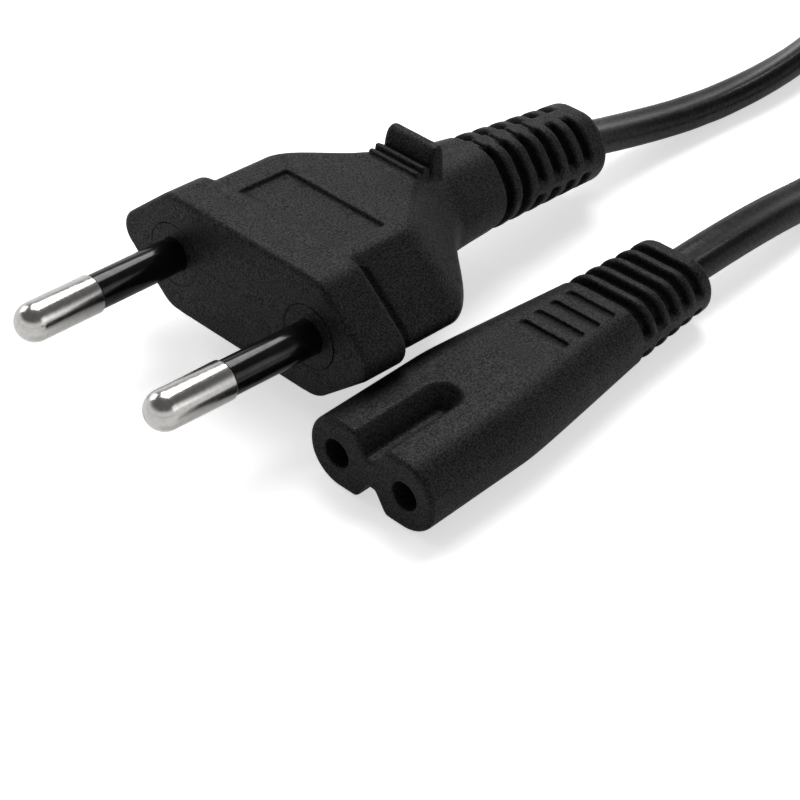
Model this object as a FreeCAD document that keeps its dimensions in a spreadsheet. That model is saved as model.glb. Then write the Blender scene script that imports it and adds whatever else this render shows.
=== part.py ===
import FreeCAD, Part
import math
import os
import types

import Sketcher

# A mains lead: a figure eight connector, a flat twin cord and a two pin plug.
# Millimetres, +Z up. The lead lies on the plane z = 0. The connector is centred on
# the origin, its cord leaves along +Y and its two sockets open towards -Y.
# The plug lies to its left with its pins towards -Y as well, and the length of cord
# between them is put away as one round coil further along +Y.

os.makedirs("parts", exist_ok=True)
doc = FreeCAD.newDocument("mains_lead")
Vector = FreeCAD.Vector

# Driving dimensions

DRIVING_SIZES = [
    # the connector's moulded body, measured from its mouth
    ("nose_width", 15.7, "figure eight nose, side to side"),
    ("nose_height", 7.8, "figure eight nose, top to bottom"),
    ("nose_straight", 13.0, "length over which the nose keeps its width"),
    ("waist_width", 11.7, "body where the connector's boot starts"),
    ("waist_height", 7.0, "body height where the connector's boot starts"),
    ("connector_boot_start", 31.6, "mouth to the start of the boot"),
    ("connector_boot_length", 12.4, "length of the boot"),
    ("connector_boot_width", 10.0, "boot width at the cord"),
    ("connector_boot_height", 6.4, "boot height at the cord"),
    ("connector_edge_radius", 0.5, "rounding of the mouth's edge"),
    ("connector_groove_first", 32.9, "mouth to the middle of the first groove"),
    ("connector_groove_pitch", 2.2, "groove to groove"),
    ("connector_groove_width", 1.15, "width of one groove"),
    ("connector_groove_depth", 0.95, "depth of one groove"),
    ("connector_web_height", 1.5, "height of the web along each side of the boot"),
    ("notch_mouth_width", 3.9, "width of the notch at the surface"),
    ("notch_floor_width", 1.1, "width of the notch at its floor"),
    ("notch_depth", 2.3, "depth of the notch"),
    ("notch_length", 9.4, "length of the notch to the centre of its round end"),
    ("grip_first", 23.0, "mouth to the first thumb step"),
    ("grip_pitch", 2.3, "thumb step to thumb step"),
    ("grip_width", 5.4, "width of a thumb step"),
    ("grip_depth", 0.28, "depth of a thumb step"),
    ("grip_length", 1.0, "length of a thumb step"),
    # the connector's sockets and contacts
    ("socket_spacing", 8.6, "socket to socket"),
    ("socket_diameter", 3.0, "hole in the mouth"),
    ("mouth_wall_thickness", 2.2, "moulding in front of the contact carrier"),
    ("carrier_length", 16.6, "hard insert that holds the contacts"),
    ("carrier_diameter", 5.0, "diameter of the insert round a contact"),
    ("carrier_web_height", 1.8, "height of the insert between its barrels"),
    ("contact_bore_diameter", 2.4, "inside of a contact"),
    ("contact_diameter", 3.4, "outside of a contact"),
    ("contact_length", 10.0, "socket part of a contact"),
    ("contact_setback_depth", 0.5, "insert's front to a contact's front"),
    ("contact_slot_width", 0.5, "width of the slots that let a contact spring"),
    ("contact_slot_length", 7.0, "length of those slots"),
    ("crimp_diameter", 2.4, "outside of the crimped barrel"),
    ("crimp_length", 4.6, "length of the crimped barrel"),
    # the plug's moulded body, measured from its face
    ("face_width", 34.8, "plug face, side to side"),
    ("face_height", 13.2, "plug face, top to bottom"),
    ("face_flat", 21.4, "width of the flat top of the face before rounding"),
    ("face_nose_radius", 2.2, "radius of the face's side corners"),
    ("face_corner_radius", 3.2, "radius of the face's upper and lower corners"),
    ("face_edge_radius", 0.5, "rounding of the face's edge"),
    ("skirt_depth", 5.3, "length of the wider front section"),
    ("skirt_step_height", 1.0, "step from the front section down to the body"),
    ("body_straight", 12.3, "face to the start of the shoulders"),
    ("shoulder_end", 25.0, "face to the end of the shoulders"),
    ("neck_width", 12.8, "neck behind the shoulders"),
    ("neck_height", 10.2, "neck behind the shoulders"),
    ("neck_flat", 7.2, "flat top of the neck before rounding"),
    ("plug_boot_start", 31.6, "face to the start of the boot"),
    ("plug_boot_start_width", 11.4, "boot width at its start"),
    ("plug_boot_start_height", 9.7, "boot height at its start"),
    ("plug_length", 48.8, "face to the end of the boot"),
    ("plug_boot_width", 10.0, "boot width at the cord"),
    ("plug_boot_height", 8.4, "boot height at the cord"),
    ("plug_boot_flat", 5.6, "flat top of the boot before rounding"),
    ("plug_groove_first", 32.4, "face to the middle of the first groove"),
    ("plug_groove_pitch", 2.56, "groove to groove"),
    ("plug_groove_width", 1.15, "width of one groove"),
    ("plug_groove_depth", 1.05, "depth of one groove"),
    ("plug_web_width", 1.3, "width of the webs across the grooves"),
    ("panel_width", 14.2, "label recess, side to side"),
    ("panel_front_start", 1.0, "face to the front of the label recess"),
    ("panel_rear_end", 11.4, "face to the rear of the label recess"),
    ("panel_depth", 0.5, "depth of the label recess at its rear"),
    ("tab_width", 6.8, "finger tab, side to side"),
    ("tab_start", 22.3, "face to the foot of the finger tab"),
    ("tab_reach", 8.8, "pin axis plane to the top of the finger tab"),
    ("tab_thickness", 2.3, "finger tab, front to back at its foot"),
    ("rib_pitch", 0.9, "rib to rib in front of the finger tab"),
    ("rib_rise_height", 0.29, "how much higher each rib stands"),
    # the pins and what holds them
    ("pin_spacing", 19.2, "pin to pin at the face"),
    ("pin_toe_angle", 0.8, "degrees that each pin leans inwards"),
    ("pin_diameter", 4.0, "bare end of a pin"),
    ("pin_length", 19.3, "face to the tip of a pin"),
    ("sleeve_end_length", 10.4, "face to the end of the sleeve"),
    ("sleeve_diameter", 3.6, "outside of a sleeve"),
    ("shank_diameter", 3.0, "pin under its sleeve"),
    ("sleeve_root_length", 1.6, "length of the sleeve behind the face"),
    ("collar_diameter", 5.2, "collar behind the bridge"),
    ("collar_length", 1.0, "length of the collar"),
    ("cup_diameter", 3.0, "solder cup behind the collar"),
    ("cup_length", 4.0, "length of the solder cup"),
    ("boss_diameter", 6.6, "bridge boss round a pin, flush with the face"),
    ("boss_length", 3.2, "face to the bridge's bar"),
    ("bridge_length", 5.0, "bar of the bridge, front to back"),
    ("bridge_width", 24.4, "bar of the bridge, side to side"),
    ("bridge_height", 6.4, "bar of the bridge, top to bottom"),
    ("bridge_edge_radius", 1.2, "rounding of the bar's long edges"),
    # the cord
    ("cord_width", 5.0, "flat twin cord"),
    ("cord_thickness", 3.0, "flat twin cord"),
    ("core_pitch", 2.4, "core to core inside the cord"),
    ("core_diameter", 2.2, "outside of the insulation"),
    ("strands_diameter", 1.1, "bundle of copper strands"),
    ("core_bend_radius", 2.4, "bend radius of the cores"),
    ("connector_jacket_start", 28.0, "mouth to the cut end of the jacket"),
    ("plug_jacket_start", 27.0, "face to the cut end of the jacket"),
    ("moulding_gap", 0.04, "gap between a piece and the moulding round it"),
    # the coil and its tie
    ("coil_radius", 28.0, "middle of the coil's turns"),
    ("coil_turns_across", 4.0, "turns side by side"),
    ("coil_layers", 2.0, "turns on top of each other"),
    ("turn_spacing", 3.2, "turn to turn, side by side"),
    ("layer_spacing", 5.2, "turn to turn, one above the other"),
    ("coil_x", -8.0, "coil centre"),
    ("coil_y", 120.0, "coil centre"),
    ("tie_width", 6.0, "tie round the coil, along the cord"),
    ("tie_wall_thickness", 0.8, "thickness of the tie"),
    # where the plug lies
    ("plug_x", -22.5, "middle of the plug's face"),
    ("plug_y", -16.9, "middle of the plug's face"),
    ("plug_turn_angle", 0.7, "degrees that the plug is turned to the right"),
    ("plug_lean_angle", 3.2, "degrees that the plug slopes down towards its cord"),
    ("boot_droop_angle", 3.7, "degrees more that the plug's boot hangs down"),
]

sheet = doc.addObject("Spreadsheet::Sheet", "Sizes")
for row, (alias, number, meaning) in enumerate(DRIVING_SIZES, start=1):
    sheet.set("A%d" % row, meaning)
    sheet.set("B%d" % row, str(number))
    sheet.setAlias("B%d" % row, alias)
doc.recompute()


class Size:
    """A length that keeps its number together with its formula on the sheet."""

    def __init__(self, value, text):
        self.value = float(value)
        self.text = text

    def __float__(self):
        return self.value

    def __add__(self, other):
        other = as_size(other)
        return Size(self.value + other.value, "(%s + %s)" % (self.text, other.text))

    def __radd__(self, other):
        return as_size(other) + self

    def __sub__(self, other):
        other = as_size(other)
        return Size(self.value - other.value, "(%s - %s)" % (self.text, other.text))

    def __rsub__(self, other):
        return as_size(other) - self

    def __mul__(self, other):
        other = as_size(other)
        return Size(self.value * other.value, "(%s * %s)" % (self.text, other.text))

    def __rmul__(self, other):
        return as_size(other) * self

    def __truediv__(self, other):
        other = as_size(other)
        return Size(self.value / other.value, "(%s / %s)" % (self.text, other.text))

    def __neg__(self):
        return 0.0 - self


def as_size(item):
    """Wrap a plain number so that it joins in formulas."""
    return item if isinstance(item, Size) else Size(item, repr(float(item)))


size = types.SimpleNamespace()
for alias, number, meaning in DRIVING_SIZES:
    setattr(size, alias, Size(sheet.get(alias), "Sizes." + alias))

connector_length = size.connector_boot_start + size.connector_boot_length
SIDES = (("left", -1.0), ("right", 1.0))
ALONG_Y = FreeCAD.Rotation(Vector(1, 0, 0), -90)
BEYOND = 1.0

# Placements of the two moulded ends

CONNECTOR = FreeCAD.Placement(
    Vector(0, -connector_length.value / 2, size.nose_height.value / 2), FreeCAD.Rotation())
PLUG_TURN = FreeCAD.Rotation(Vector(0, 0, 1), -size.plug_turn_angle.value).multiply(
    FreeCAD.Rotation(Vector(1, 0, 0), -size.plug_lean_angle.value))
BOOT = FreeCAD.Placement(
    Vector(0, 0, 0), FreeCAD.Rotation(Vector(1, 0, 0), -size.boot_droop_angle.value),
    Vector(0, size.plug_jacket_start.value, 0))

# Helpers that make document objects


def bind(thing, **formulas):
    """Tie properties of an object to formulas on the sheet."""
    for name, formula in formulas.items():
        thing.setExpression(name, as_size(formula).text)
    return thing


def put(thing, x=0.0, y=0.0, z=0.0, rotation=None):
    """Place an object and tie its position to the sheet."""
    x, y, z = as_size(x), as_size(y), as_size(z)
    rotation = rotation or FreeCAD.Rotation()
    thing.Placement = FreeCAD.Placement(Vector(x.value, y.value, z.value), rotation)
    for axis, formula in (("x", x), ("y", y), ("z", z)):
        thing.setExpression("Placement.Base." + axis, formula.text)
    return thing


def rod(name, diameter, start, end, x=0.0, z=0.0):
    """A round rod along +Y from start to end."""
    thing = doc.addObject("Part::Cylinder", name)
    bind(thing, Radius=as_size(diameter) / 2, Height=as_size(end) - start)
    return put(thing, x, start, z, ALONG_Y)


def block(name, width, height, start, end, x=0.0, z=0.0):
    """A box centred on x and z, from start to end along Y."""
    width, height = as_size(width), as_size(height)
    thing = doc.addObject("Part::Box", name)
    bind(thing, Length=width, Width=as_size(end) - start, Height=height)
    return put(thing, as_size(x) - width / 2, start, as_size(z) - height / 2)


def drawn(name, shape):
    """A form that no ready-made feature gives, drawn with Part's own functions."""
    thing = doc.addObject("Part::Feature", name)
    thing.Shape = shape
    return thing


def fused(name, pieces):
    """Join pieces into one solid."""
    thing = doc.addObject("Part::MultiFuse", name)
    thing.Shapes = pieces
    thing.Refine = True
    return thing


def cut(name, base, tools):
    """Take tools away from a base."""
    tool = tools[0] if len(tools) == 1 else fused(name + "_tools", tools)
    thing = doc.addObject("Part::Cut", name)
    thing.Base = base
    thing.Tool = tool
    return thing


SUBPARTS = []


def subpart(thing, label, placement):
    """Name a finished piece and lay it where it belongs."""
    thing.Label = label
    thing.Placement = placement.multiply(thing.Placement)
    SUBPARTS.append(thing)
    return thing


def beside(placement, x, y=0.0):
    """A placement moved along the piece's own axes."""
    return placement.multiply(FreeCAD.Placement(Vector(x, y, 0), FreeCAD.Rotation()))


def polygon_sketch(body, name, plane_role, corners):
    """A closed polygon on an origin plane, each corner tied to the sheet."""
    sketch = body.newObject("Sketcher::SketchObject", name)
    plane = [item for item in body.Origin.OriginFeatures if item.Role == plane_role][0]
    sketch.AttachmentSupport = (plane, [""])
    sketch.MapMode = "FlatFace"
    corners = [(as_size(across), as_size(up)) for across, up in corners]
    count = len(corners)
    for index, (across, up) in enumerate(corners):
        next_across, next_up = corners[(index + 1) % count]
        first = Vector(across.value, up.value, 0)
        second = Vector(next_across.value, next_up.value, 0)
        sketch.addGeometry(Part.LineSegment(first, second))
    for index in range(count):
        sketch.addConstraint(Sketcher.Constraint("Coincident", index, 2, (index + 1) % count, 1))
    for index, (across, up) in enumerate(corners):
        for kind, axis, formula in (("DistanceX", -2, across), ("DistanceY", -1, up)):
            if abs(formula.value) < 1e-9:
                sketch.addConstraint(Sketcher.Constraint("PointOnObject", index, 1, axis))
            else:
                number = sketch.addConstraint(
                    Sketcher.Constraint(kind, -1, 1, index, 1, formula.value))
                sketch.setExpression("Constraints[%d]" % number, formula.text)
    return sketch


def body_from_profile(name, profile):
    """A turned body: a profile of radius against Y, revolved about the Y axis."""
    body = doc.addObject("PartDesign::Body", name)
    sketch = polygon_sketch(body, name + "_profile", "XY_Plane", profile)
    turned = body.newObject("PartDesign::Revolution", name + "_turned")
    turned.Profile = sketch
    turned.ReferenceAxis = (sketch, ["V_Axis"])
    turned.Angle = 360.0
    return body


# Outlines and moulded forms


def rounded_wire(corners, to_point):
    """A closed wire of straight sides, each corner with its own tangent arc."""
    points = [to_point(a, b) for a, b, radius in corners]
    arcs = []
    for index, (a, b, radius) in enumerate(corners):
        corner = points[index]
        if not radius:
            arcs.append((corner, corner, corner))
            continue
        back = (points[index - 1] - corner).normalize()
        ahead = (points[(index + 1) % len(points)] - corner).normalize()
        half = back.getAngle(ahead) / 2
        reach = radius / math.tan(half)
        centre = corner + (back + ahead).normalize() * (radius / math.sin(half))
        middle = centre + (corner - centre).normalize() * radius
        arcs.append((corner + back * reach, middle, corner + ahead * reach))
    edges = []
    for index, (first, middle, last) in enumerate(arcs):
        if corners[index][2] > 0:
            edges.append(Part.Arc(first, middle, last).toShape())
        edges.append(Part.LineSegment(last, arcs[(index + 1) % len(arcs)][0]).toShape())
    return Part.Wire(edges)


def nose_vertex(half_width, half_height, flat, nose):
    """How far out the sharp side corner stands so that its rounding ends at half_width."""
    lean = nose / half_height
    inner = half_width - nose - flat
    root = inner ** 2 - (1 - lean ** 2) * (inner ** 2 - (lean * half_height) ** 2)
    return flat + (inner + math.sqrt(root)) / (1 - lean ** 2)


def six_sided(y, half_width, half_height, flat, nose, corner):
    """The plug's section: flat top and bottom, sloping flanks and a rounded nose each side."""
    vertex = nose_vertex(half_width, half_height, flat, nose)
    corners = [
        (flat, half_height, corner), (vertex, 0, nose), (flat, -half_height, corner),
        (-flat, -half_height, corner), (-vertex, 0, nose), (-flat, half_height, corner)]
    return rounded_wire(corners, lambda x, z: Vector(x, y, z))


def round_ended(y, half_width, half_height, rounding=0.97):
    """The connector's section: a rectangle whose sides are all but half circles."""
    radius = half_height * rounding
    corners = [
        (half_width, half_height, radius), (half_width, -half_height, radius),
        (-half_width, -half_height, radius), (-half_width, half_height, radius)]
    return rounded_wire(corners, lambda x, z: Vector(x, y, z))


def loft(wires, ruled=False):
    """A solid through a row of sections."""
    return Part.makeLoft(wires, True, ruled)


def end_edges(shape, y):
    """The edges of a shape that lie in the plane at y."""
    return [edge for edge in shape.Edges
            if abs(edge.BoundBox.YMin - y) < 1e-4 and abs(edge.BoundBox.YMax - y) < 1e-4]


def side_profile(corners, half_width):
    """A solid drawn from the side, as Y against Z, and as wide as two half widths."""
    wire = rounded_wire(corners, lambda y, z: Vector(-half_width, y, z))
    return Part.Face(wire).extrude(Vector(2 * half_width, 0, 0))


def flipped(shape):
    """The same form on the underside."""
    return shape.mirror(Vector(0, 0, 0), Vector(0, 0, 1))


def ease(share):
    """A smooth step from 0 to 1."""
    share = min(max(share, 0.0), 1.0)
    return share * share * (3 - 2 * share)


def soft_start(share, bend_length=0.12):
    """From 0 to 1 along a straight slope that starts with a soft bend."""
    rise = math.hypot(share, bend_length) - bend_length
    return rise / (math.hypot(1.0, bend_length) - bend_length)


def between(first, last, share):
    """The value a share of the way from first to last."""
    return first + (last - first) * share


# Paths of wires and cords


def path_wire(points, bend=None, report=None):
    """Straight runs joined by tangent arcs.

    Without a bend radius each arc is as large as its two runs allow.
    """
    points = [Vector(*point) for point in points]
    edges = []
    start = points[0]
    radii = []
    for before, corner, after in zip(points, points[1:], points[2:]):
        back = (before - corner).normalize()
        ahead = (after - corner).normalize()
        half_turn = (math.pi - back.getAngle(ahead)) / 2
        shorter = min((before - corner).Length, (after - corner).Length)
        radius = bend or 0.45 * shorter / math.tan(half_turn)
        reach = radius * math.tan(half_turn)
        first = corner + back * reach
        last = corner + ahead * reach
        centre = corner + (back + ahead).normalize() * (radius / math.cos(half_turn))
        middle = centre + (corner - centre).normalize() * radius
        edges.append(Part.LineSegment(start, first).toShape())
        edges.append(Part.Arc(first, middle, last).toShape())
        start = last
        radii.append(radius)
    edges.append(Part.LineSegment(start, points[-1]).toShape())
    if report:
        print(report, "radii", " ".join("%.1f" % radius for radius in radii))
    return Part.Wire(edges)


def round_tube(points, diameter, bend):
    """A round rod along a path of straight runs and equal bends."""
    wire = path_wire(points, bend)
    start = Vector(*points[0])
    heading = Vector(*points[1]) - start
    circle = Part.Wire(Part.makeCircle(diameter / 2, start, heading))
    return wire.makePipeShell([circle], True, False)


def flat_cord(points, report=None):
    """A flat cord that lies on its broad side along a path."""
    wire = path_wire(points, None, report)
    start = Vector(*points[0])
    heading = (Vector(*points[1]) - start).normalize()
    across = heading.cross(Vector(0, 0, 1)).normalize()
    up = across.cross(heading).normalize()
    half_width = size.cord_width.value / 2
    half_height = size.cord_thickness.value / 2
    radius = half_height * 0.97
    corners = [
        (half_width, half_height, radius), (half_width, -half_height, radius),
        (-half_width, -half_height, radius), (-half_width, half_height, radius)]
    section = rounded_wire(corners, lambda a, b: start + across * a + up * b)
    shell = Part.BRepOffsetAPI.MakePipeShell(wire)
    shell.setBiNormalMode(Vector(0, 0, 1))
    shell.add(section)
    shell.build()
    shell.makeSolid()
    solid = shell.shape()
    expected = Part.Face(section).Area * wire.Length
    print(report, "volume %.1f, section times length %.1f" % (solid.Volume, expected))
    return solid


# Connector: moulded body


def connector_hull():
    """Nose with round sides, flanks that draw in to the boot, and the boot's taper."""
    half_width = size.nose_width.value / 2
    half_height = size.nose_height.value / 2
    straight = size.nose_straight.value
    boot_start = size.connector_boot_start.value
    waist_width = size.waist_width.value / 2
    waist_height = size.waist_height.value / 2
    nose = loft([round_ended(0, half_width, half_height),
                 round_ended(straight, half_width, half_height)], ruled=True)
    nose = nose.makeFillet(size.connector_edge_radius.value, end_edges(nose, 0))
    rows = 12
    flanks = []
    for index in range(rows):
        share = index / (rows - 1)
        drawn_in = soft_start(share)
        flanks.append(round_ended(
            between(straight, boot_start, share),
            between(half_width, waist_width, drawn_in),
            between(half_height, waist_height, drawn_in)))
    end_width = size.connector_boot_width.value / 2
    end_height = size.connector_boot_height.value / 2
    boot = loft([round_ended(boot_start, waist_width, waist_height),
                 round_ended(connector_length.value, end_width, end_height)], ruled=True)
    boot = boot.makeFillet(size.connector_edge_radius.value, end_edges(boot, connector_length.value))
    return nose.fuse([loft(flanks), boot]).removeSplitter()


def connector_boot_groove(middle):
    """One groove round the boot, broken by a web along each side."""
    boot_start = size.connector_boot_start.value
    share = (middle - boot_start) / size.connector_boot_length.value
    half_width = between(size.waist_width.value, size.connector_boot_width.value, share) / 2
    half_height = between(size.waist_height.value, size.connector_boot_height.value, share) / 2
    depth = size.connector_groove_depth.value
    width = size.connector_groove_width.value
    start = middle - width / 2
    outer = Part.Face(round_ended(start, half_width + BEYOND, half_height + BEYOND))
    inner = Part.Face(round_ended(start, half_width - depth, half_height - depth))
    ring = outer.cut(inner).extrude(Vector(0, width, 0))
    web = size.connector_web_height.value
    span = 4 * half_width
    keep = Part.makeBox(span, 2 * width, web, Vector(-span / 2, start - width / 2, -web / 2))
    return ring.cut(keep)


def notch_shape():
    """The keying notch of the nose: sloping walls, a narrow floor and a round end."""
    top = size.nose_height.value / 2
    floor = top - size.notch_depth.value
    mouth = size.notch_mouth_width.value / 2
    bottom = size.notch_floor_width.value / 2
    length = size.notch_length.value
    slope = (mouth - bottom) / size.notch_depth.value
    high = top + BEYOND
    reach = mouth + slope * BEYOND
    corners = [Vector(-reach, -BEYOND, high), Vector(-bottom, -BEYOND, floor),
               Vector(bottom, -BEYOND, floor), Vector(reach, -BEYOND, high)]
    groove = Part.Face(Part.makePolygon(corners + corners[:1]))
    groove = groove.extrude(Vector(0, length + BEYOND, 0))
    end = Part.makeCone(bottom, reach, high - floor, Vector(0, length, floor))
    return groove.fuse(end).removeSplitter()


def thumb_step(start):
    """A shallow step across the top: a sloping floor that ends at a small wall."""
    share = (start - size.nose_straight.value)
    share = share / (size.connector_boot_start.value - size.nose_straight.value)
    top = between(size.nose_height.value, size.waist_height.value, soft_start(share)) / 2
    rear = start + size.grip_length.value
    corners = [(start, top - size.grip_depth.value, 0), (rear, top, 0),
               (rear, top + BEYOND, 0), (start, top + BEYOND, 0)]
    return side_profile(corners, size.grip_width.value / 2)


hull = drawn("connector_hull", connector_hull())
notch = notch_shape()
cuts = [drawn("notch_top", notch), drawn("notch_bottom", flipped(notch))]
for index in range(5):
    middle = size.connector_groove_first.value + index * size.connector_groove_pitch.value
    cuts.append(drawn("connector_groove_%d" % (index + 1), connector_boot_groove(middle)))
for index in range(4):
    start = size.grip_first.value + index * size.grip_pitch.value
    cuts.append(drawn("thumb_step_%d" % (index + 1), thumb_step(start)))

gap = size.moulding_gap
carrier_front = size.mouth_wall_thickness
carrier_rear = size.mouth_wall_thickness + size.carrier_length
socket_x = size.socket_spacing / 2
barrel_room = size.carrier_diameter + gap * 2
cavity = [block("carrier_web_room", size.socket_spacing, size.carrier_web_height + gap * 2,
                carrier_front - gap, carrier_rear + gap)]
for side, sign in SIDES:
    x = socket_x * sign
    cavity.append(rod("carrier_room_" + side, barrel_room, carrier_front - gap,
                      carrier_rear + gap, x))
    cavity.append(rod("socket_hole_" + side, size.socket_diameter, -BEYOND, carrier_front, x))


def core_points(sign, spacing, start, first_bend, jacket_start, spare=0.0):
    """Where a core runs: straight off its terminal, then in to its place in the cord.

    A room round it runs further at its end by spare.
    """
    outer = sign * spacing.value / 2
    inner = sign * size.core_pitch.value / 2
    last_bend = jacket_start.value - 2.5
    return [(outer, start, 0), (outer, first_bend, 0), (inner, last_bend, 0),
            (inner, jacket_start.value + spare, 0)]


connector_core_start = carrier_rear.value + 0.3
connector_first_bend = carrier_rear.value + 2.2
bend = size.core_bend_radius.value
for side, sign in SIDES:
    route = core_points(sign, size.socket_spacing, connector_core_start - 0.3,
                        connector_first_bend, size.connector_jacket_start, 0.3)
    room = round_tube(route, size.core_diameter.value + 2 * gap.value, bend)
    cavity.append(drawn("connector_core_room_" + side, room))


def jacket_end(start, end, spare):
    """The flat jacket inside a boot, with room to spare round it."""
    half_width = size.cord_width.value / 2 + spare
    half_height = size.cord_thickness.value / 2 + spare
    return loft([round_ended(start, half_width, half_height),
                 round_ended(end, half_width, half_height)], ruled=True)


cavity.append(drawn("connector_jacket_room", jacket_end(
    size.connector_jacket_start.value - gap.value, connector_length.value + BEYOND, gap.value)))
subpart(cut("connector_moulding", hull, cuts + cavity), "connector_body", CONNECTOR)

# Connector: insert, contacts and wires

contact_front = carrier_front + size.contact_setback_depth
contact_rear = contact_front + size.contact_length
crimp_front = contact_rear + 0.6
crimp_rear = crimp_front + size.crimp_length
for half, sign_z in (("upper", 1.0), ("lower", -1.0)):
    pieces = [block("insert_web_" + half, size.socket_spacing, size.carrier_web_height,
                    carrier_front, carrier_rear)]
    bores = []
    for side, sign in SIDES:
        x = socket_x * sign
        name = half + "_" + side
        pieces.append(rod("insert_barrel_" + name, size.carrier_diameter,
                          carrier_front, carrier_rear, x))
        bores.append(rod("insert_bore_" + name, size.contact_diameter + gap * 2,
                         carrier_front - BEYOND, crimp_front + gap, x))
        bores.append(rod("insert_tail_" + name, size.crimp_diameter + gap * 2,
                         crimp_front, carrier_rear + BEYOND, x))
    whole = cut("insert_whole_" + half, fused("insert_blank_" + half, pieces), bores)
    keep = block("insert_half_" + half, size.nose_width * 2, size.nose_height,
                 0.0, connector_length, 0.0, size.nose_height * sign_z / 2)
    common = doc.addObject("Part::Common", "insert_" + half)
    common.Base = whole
    common.Tool = keep
    subpart(common, "contact_carrier_" + half, CONNECTOR)

contact_radius = size.contact_diameter / 2
bore_radius = size.contact_bore_diameter / 2
crimp_radius = size.crimp_diameter / 2
strands_room = size.strands_diameter / 2 + gap
for side, sign in SIDES:
    body = body_from_profile("contact_" + side, [
        (0.0, crimp_front + 0.4), (0.0, contact_rear - 0.4), (bore_radius, contact_rear - 0.4),
        (bore_radius, contact_front + 0.3), (bore_radius + 0.25, contact_front),
        (contact_radius, contact_front), (contact_radius, contact_rear),
        (crimp_radius, crimp_front), (crimp_radius, crimp_rear), (strands_room, crimp_rear),
        (strands_room, crimp_front + 0.4)])
    doc.recompute()
    before = body.Shape.Volume
    slot_half = size.contact_slot_width / 2
    slot_end = contact_front + size.contact_slot_length
    sketch = polygon_sketch(body, "contact_slot_sketch_" + side, "YZ_Plane", [
        (contact_front - BEYOND, -slot_half), (slot_end, -slot_half),
        (slot_end, slot_half), (contact_front - BEYOND, slot_half)])
    pocket = body.newObject("PartDesign::Pocket", "contact_slots_" + side)
    pocket.Profile = sketch
    pocket.Midplane = True
    bind(pocket, Length=size.contact_diameter * 2)
    doc.recompute()
    if not body.Shape.Volume < before:
        raise RuntimeError("the slots of the %s contact cut nothing" % side)
    subpart(body, "contact_" + side, beside(CONNECTOR, sign * socket_x.value))


def wire_pair(owner, placement, spacing, strands_start, core_start, first_bend, jacket_start):
    """The two insulated cores between the terminals and the cord, and their copper."""
    for side, sign in SIDES:
        route = core_points(sign, spacing, core_start, first_bend, jacket_start)
        outside = round_tube(route, size.core_diameter.value, bend)
        inside = round_tube(route, size.strands_diameter.value + 2 * gap.value, bend)
        core = drawn(owner + "_core_solid_" + side, outside.cut(inside))
        subpart(core, owner + "_core_" + side, placement)
        copper_route = core_points(sign, spacing, strands_start, first_bend, jacket_start)
        copper = round_tube(copper_route, size.strands_diameter.value, bend)
        strands = drawn(owner + "_strands_solid_" + side, copper)
        subpart(strands, owner + "_strands_" + side, placement)


wire_pair("connector", CONNECTOR, size.socket_spacing, crimp_front.value + 0.5,
          connector_core_start, connector_first_bend, size.connector_jacket_start)
subpart(drawn("connector_jacket", jacket_end(
    size.connector_jacket_start.value, connector_length.value, 0.0)),
    "connector_jacket_end", CONNECTOR)

# Plug: moulded body


BOOT_NOSE = 3.8
BOOT_CORNER = 3.4


def drooped(shape):
    """Turn a piece of the plug's boot about the cut end of the jacket."""
    turned = shape.copy()
    turned.Placement = BOOT.multiply(turned.Placement)
    return turned


def plug_hull():
    """Front section, body, shoulders that draw in to the neck, and the boot's taper."""
    half_width = size.face_width.value / 2
    half_height = size.face_height.value / 2
    flat = size.face_flat.value / 2
    nose = size.face_nose_radius.value
    corner = size.face_corner_radius.value
    step = size.skirt_step_height.value
    skirt = loft([six_sided(0, half_width, half_height, flat, nose, corner),
                  six_sided(size.skirt_depth.value, half_width, half_height, flat, nose, corner)],
                 ruled=True)
    edge = size.face_edge_radius.value
    skirt = skirt.makeFillet(edge, end_edges(skirt, 0) + end_edges(skirt, size.skirt_depth.value))
    body_width = half_width - 0.95 * step
    body_flat = flat - 1.4 * step
    body_nose = nose - 0.8 * step
    body_corner = corner - 1.2 * step
    straight = size.body_straight.value
    body = loft([six_sided(size.skirt_depth.value - edge - 1.0, body_width, half_height,
                           body_flat, body_nose, body_corner),
                 six_sided(straight, body_width, half_height, body_flat, body_nose, body_corner)],
                ruled=True)
    neck_width = size.neck_width.value / 2
    neck_height = size.neck_height.value / 2
    neck_flat = size.neck_flat.value / 2
    shoulder_end = size.shoulder_end.value
    rows = 9
    stations = []
    for index in range(rows):
        share = index / (rows - 1)
        flat_share = ease(share / 0.72)
        drop_share = ease((share - 0.6) / 0.4)
        stations.append(six_sided(
            between(straight, shoulder_end, share),
            between(body_width, neck_width, ease(share)),
            between(half_height, neck_height, drop_share),
            between(body_flat, neck_flat, flat_share),
            between(body_nose, BOOT_NOSE, share),
            between(body_corner, BOOT_CORNER, share)))
    boot_front = drooped(boot_section(size.plug_boot_start.value, 0.0))
    neck = loft([stations[-1], boot_front], ruled=True)
    boot = loft([boot_section(size.plug_boot_start.value, 0.0),
                 boot_section(size.plug_length.value, 0.0)], ruled=True)
    boot = boot.makeFillet(0.9, end_edges(boot, size.plug_length.value))
    return skirt.fuse([body, loft(stations), neck, drooped(boot)]).removeSplitter()


def boot_section(y, inset):
    """The plug boot's squarish oval at y, drawn in by inset."""
    length = size.plug_length.value - size.plug_boot_start.value
    share = (y - size.plug_boot_start.value) / length
    width = between(size.plug_boot_start_width.value, size.plug_boot_width.value, share)
    height = between(size.plug_boot_start_height.value, size.plug_boot_height.value, share)
    flat = size.plug_boot_flat.value / 2 - 0.6 * share
    return six_sided(y, width / 2 - inset, height / 2 - inset, flat - 0.85 * inset,
                     BOOT_NOSE - inset, BOOT_CORNER - 0.8 * inset)


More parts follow.
